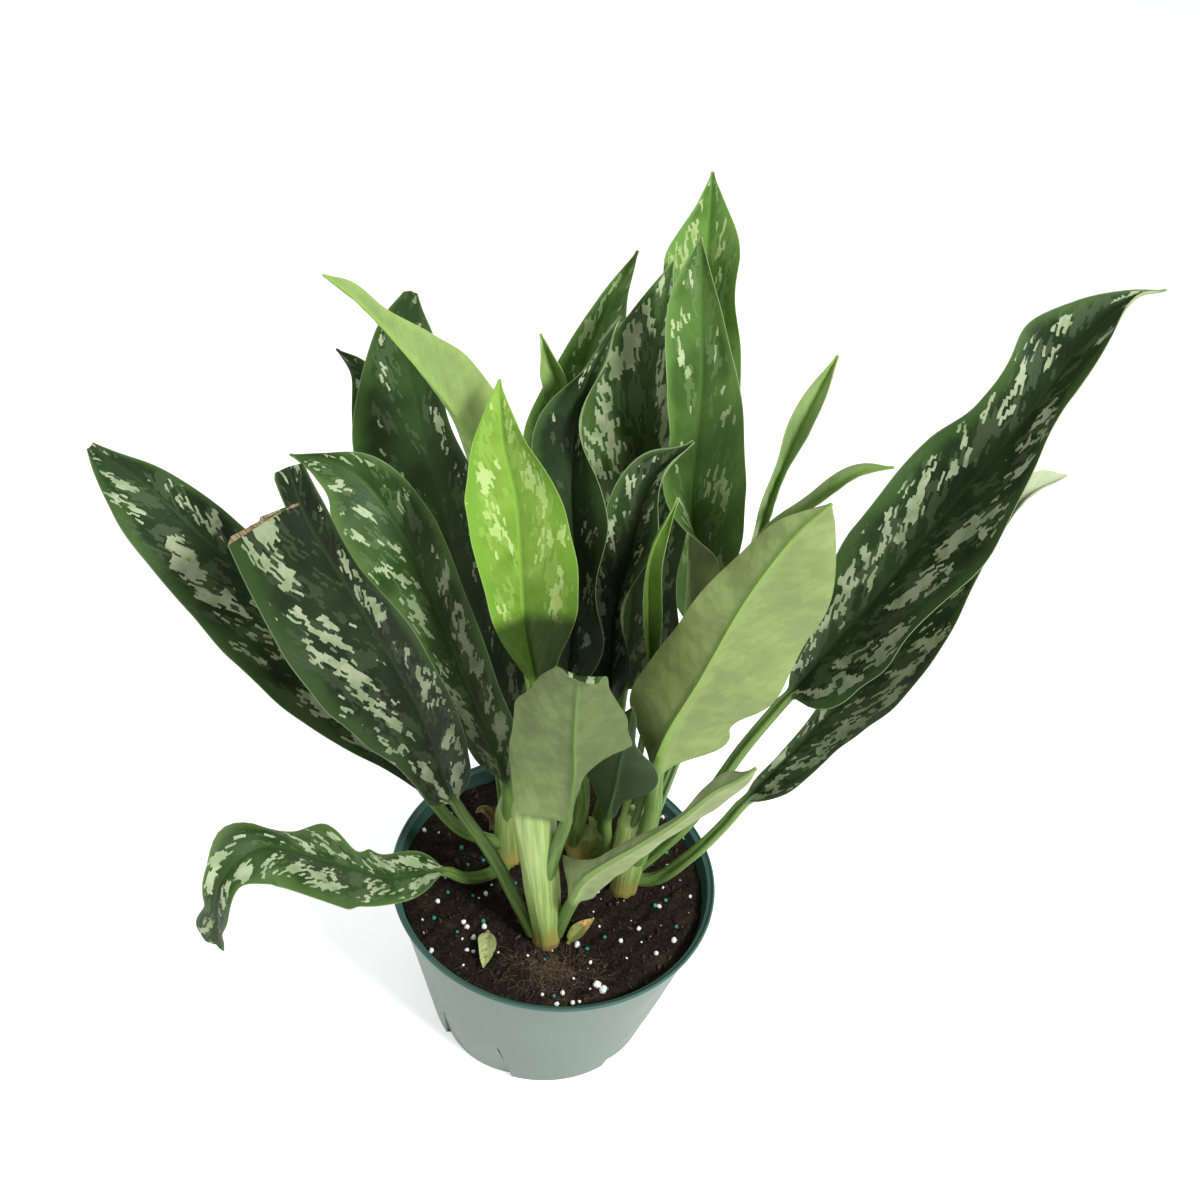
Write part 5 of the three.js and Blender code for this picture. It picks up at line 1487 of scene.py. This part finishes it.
scatter("white_grains", SEEN_GRAINS + more_grains, all_sizes, 0.35, (0.85, 0.8), grain_finish)
SEEN_PRILLS = [
    (-49, -15), (-37, -15), (-53, -31), (-30, -29), (-41, -37), (55, -3), (50, -8), (61, -17), (1, -47),
    (54, 27),
]
prill_finish = plain_finish("feed_prill", (0.01, 0.16, 0.11), (0.03, 0.30, 0.20), 400.0, 0.35, 0.05)
prill_places = SEEN_PRILLS + around(MORE_PRILLS)
prill_sizes = rng.uniform(*PRILL_SIZES, len(prill_places))
scatter("feed_prills", prill_places, prill_sizes, 0.08, (1, 1), prill_finish)
print("grains:", len(all_sizes), "prills:", len(prill_places))

# %% [markdown]
# ## Bark chips
#
# Potting mix is full of dark chips of bark. They are the same lumps, pressed flat and with a stronger
# noise, and chance alone places them, because no single chip stands out.

# %% Bark chips
CHIPS = 420
CHIP_SIZES = (0.5, 2.2)
CHIP_REACH = 71
chip_finish = plain_finish("bark_chip", (0.012, 0.008, 0.005), (0.060, 0.035, 0.020), 500.0, 0.85, 0.4)
chip_places = around(CHIPS, CHIP_REACH)
scatter("bark_chips", chip_places, rng.uniform(*CHIP_SIZES, CHIPS), 0.6, (0.45, 0.3), chip_finish, sink=0.1)
print("chips:", CHIPS)

# %% [markdown]
# ## Fine roots
#
# In front of the first shoot lies a tuft of brown root threads. Hair curves could draw them, but every
# other piece is a plain mesh, and so are these. Each root is a thin tube of rings that follows the soil
# and wanders a little at every step.

# %% Fine roots
ROOTS = 330
ROOT_WIDTHS = (0.04, 0.11)
ROOT_RINGS = (4, 12)
ROOT_LIFT = 0.15
ROOT_ARCH = 0.5
ROOT_SIDES = 5
ROOT_STEP = 1.1
ROOT_WANDER = 0.35


def fine_roots(count):
    """Thin wandering threads that lie on the soil."""
    points, faces = [], []
    for _ in range(count):
        x, y = rng.normal(ROOT_CENTRE, ROOT_SPREAD)
        heading = rng.uniform(0, 2 * math.pi)
        width = rng.uniform(*ROOT_WIDTHS)
        steps = rng.integers(*ROOT_RINGS)
        start = len(points)
        made = 0
        for i in range(steps):
            if math.hypot(x, y) > SOIL_REACH + 1:
                break
            taper = width * (1 - 0.7 * i / steps)
            z = surface_at(x, y) + ROOT_LIFT + ROOT_ARCH * math.sin(i * 0.9 + heading) ** 2
            side = np.array([-math.sin(heading), math.cos(heading), 0])
            for k in range(ROOT_SIDES):
                a = 2 * math.pi * k / ROOT_SIDES
                spoke = side * math.cos(a) + np.array([0, 0, math.sin(a)])
                points.append(np.array([x, y, z]) + taper * spoke)
            heading += rng.normal(0, ROOT_WANDER)
            x += ROOT_STEP * math.cos(heading)
            y += ROOT_STEP * math.sin(heading)
            made += 1
        if made < 2:
            del points[start:]
            continue
        faces += [tuple(start + k for k in face) for face in ring_faces(made, ROOT_SIDES)]
    return points, faces


root_finish = plain_finish("fine_root", (0.075, 0.046, 0.028), (0.22, 0.150, 0.098), 700.0, 0.85, 0.05)
points, faces = fine_roots(ROOTS)
make_piece("fine_roots", points, faces, root_finish, sharp=180)
print("root points:", len(points))

# %% [markdown]
# ## Dry bits
#
# Three scraps lie among the shoots: a faded bit of leaf and two papery brown sheaths. They are small
# leaves as far as their shape goes, so the same leaf maker draws them, and only the finish is new.

# %% Make the dry bits
FIRST_DRY_SEED = 50
DRY_BITS = {
    "dry_leaf_bit": dict(
        stalk=[(-27, -34, 83)], rib=[(-27, -37, 87), (-26, -47, 90), (-26, -57, 88)], faces=(0.1, -0.3, 0.9),
        left=(3, 4, 4.5, 3.5, 1.5), right=(3, 4.5, 4, 3, 1.5), fold_left=25, fold_right=15, stalk_radius=1,
        slot="dry_leaf"),
    "dry_sheath": dict(
        stalk=[(-34, 27, 82)], rib=[(-34, 27, 90), (-36, 27, 97), (-39, 26, 101), (-42, 25, 98)],
        faces=(0.5, -0.7, 0.3), left=(2, 3, 3, 3, 1), right=(2, 3, 3, 3, 1), fold_left=40, fold_right=40,
        stalk_radius=1, slot="dry_sheath"),
    "dry_bract": dict(
        stalk=[(10, -37, 82)], rib=[(11, -36, 87), (15, -33, 92), (21, -29, 97)], faces=(-0.4, -0.6, 0.6),
        left=(4, 4, 3.5, 2.5, 1), right=(4, 4, 3.5, 2.5, 1), fold_left=25, fold_right=25, stalk_radius=1,
        slot="dry_sheath"),
}


def dry_skin(name, dark, light, foot=None):
    """Streaks between two dry tones, a foot that may still be green, and dark spots."""
    skin = Finish(name)
    slant = skin.vector(skin.measure("vein"), skin.times(skin.measure("across"), 0.3), 2.0)
    streak = skin.cloud(slant, 0.9, 4.0, 0.65)
    colour = skin.blend(skin.ramp(streak, 0.3, 0.7), dark, light)
    if foot:
        colour = skin.blend(skin.ramp(skin.measure("share"), 0.45, 0.75, 0.9, 0), colour, foot)
    spots = skin.ramp(skin.cloud(skin.place(), 420.0, 2.0), 0.58, 0.66, 0, 0.7)
    colour = skin.blend(spots, colour, scaled(dark, 0.5))
    return skin.done(colour, 0.75, skin.bump(streak, 0.5))


dry_finishes = {
    "dry_leaf": dry_skin("faded_leaf", (0.30, 0.34, 0.12), (0.46, 0.50, 0.22)),
    "dry_sheath": dry_skin("papery_sheath", (0.40, 0.24, 0.09), (0.68, 0.50, 0.24)),
    "dry_bract": dry_skin("half_dry_bract", (0.38, 0.22, 0.07), (0.60, 0.42, 0.15), (0.20, 0.26, 0.06)),
}
for seed, (name, bit) in enumerate(DRY_BITS.items(), start=FIRST_DRY_SEED):
    points, faces, measures = leaf_shape(bit, seed)
    finish = dry_finishes.get(name, dry_finishes[bit["slot"]])
    make_piece("fine_" + name, points, faces, finish, name, measures)
print("dry bits:", len(DRY_BITS))
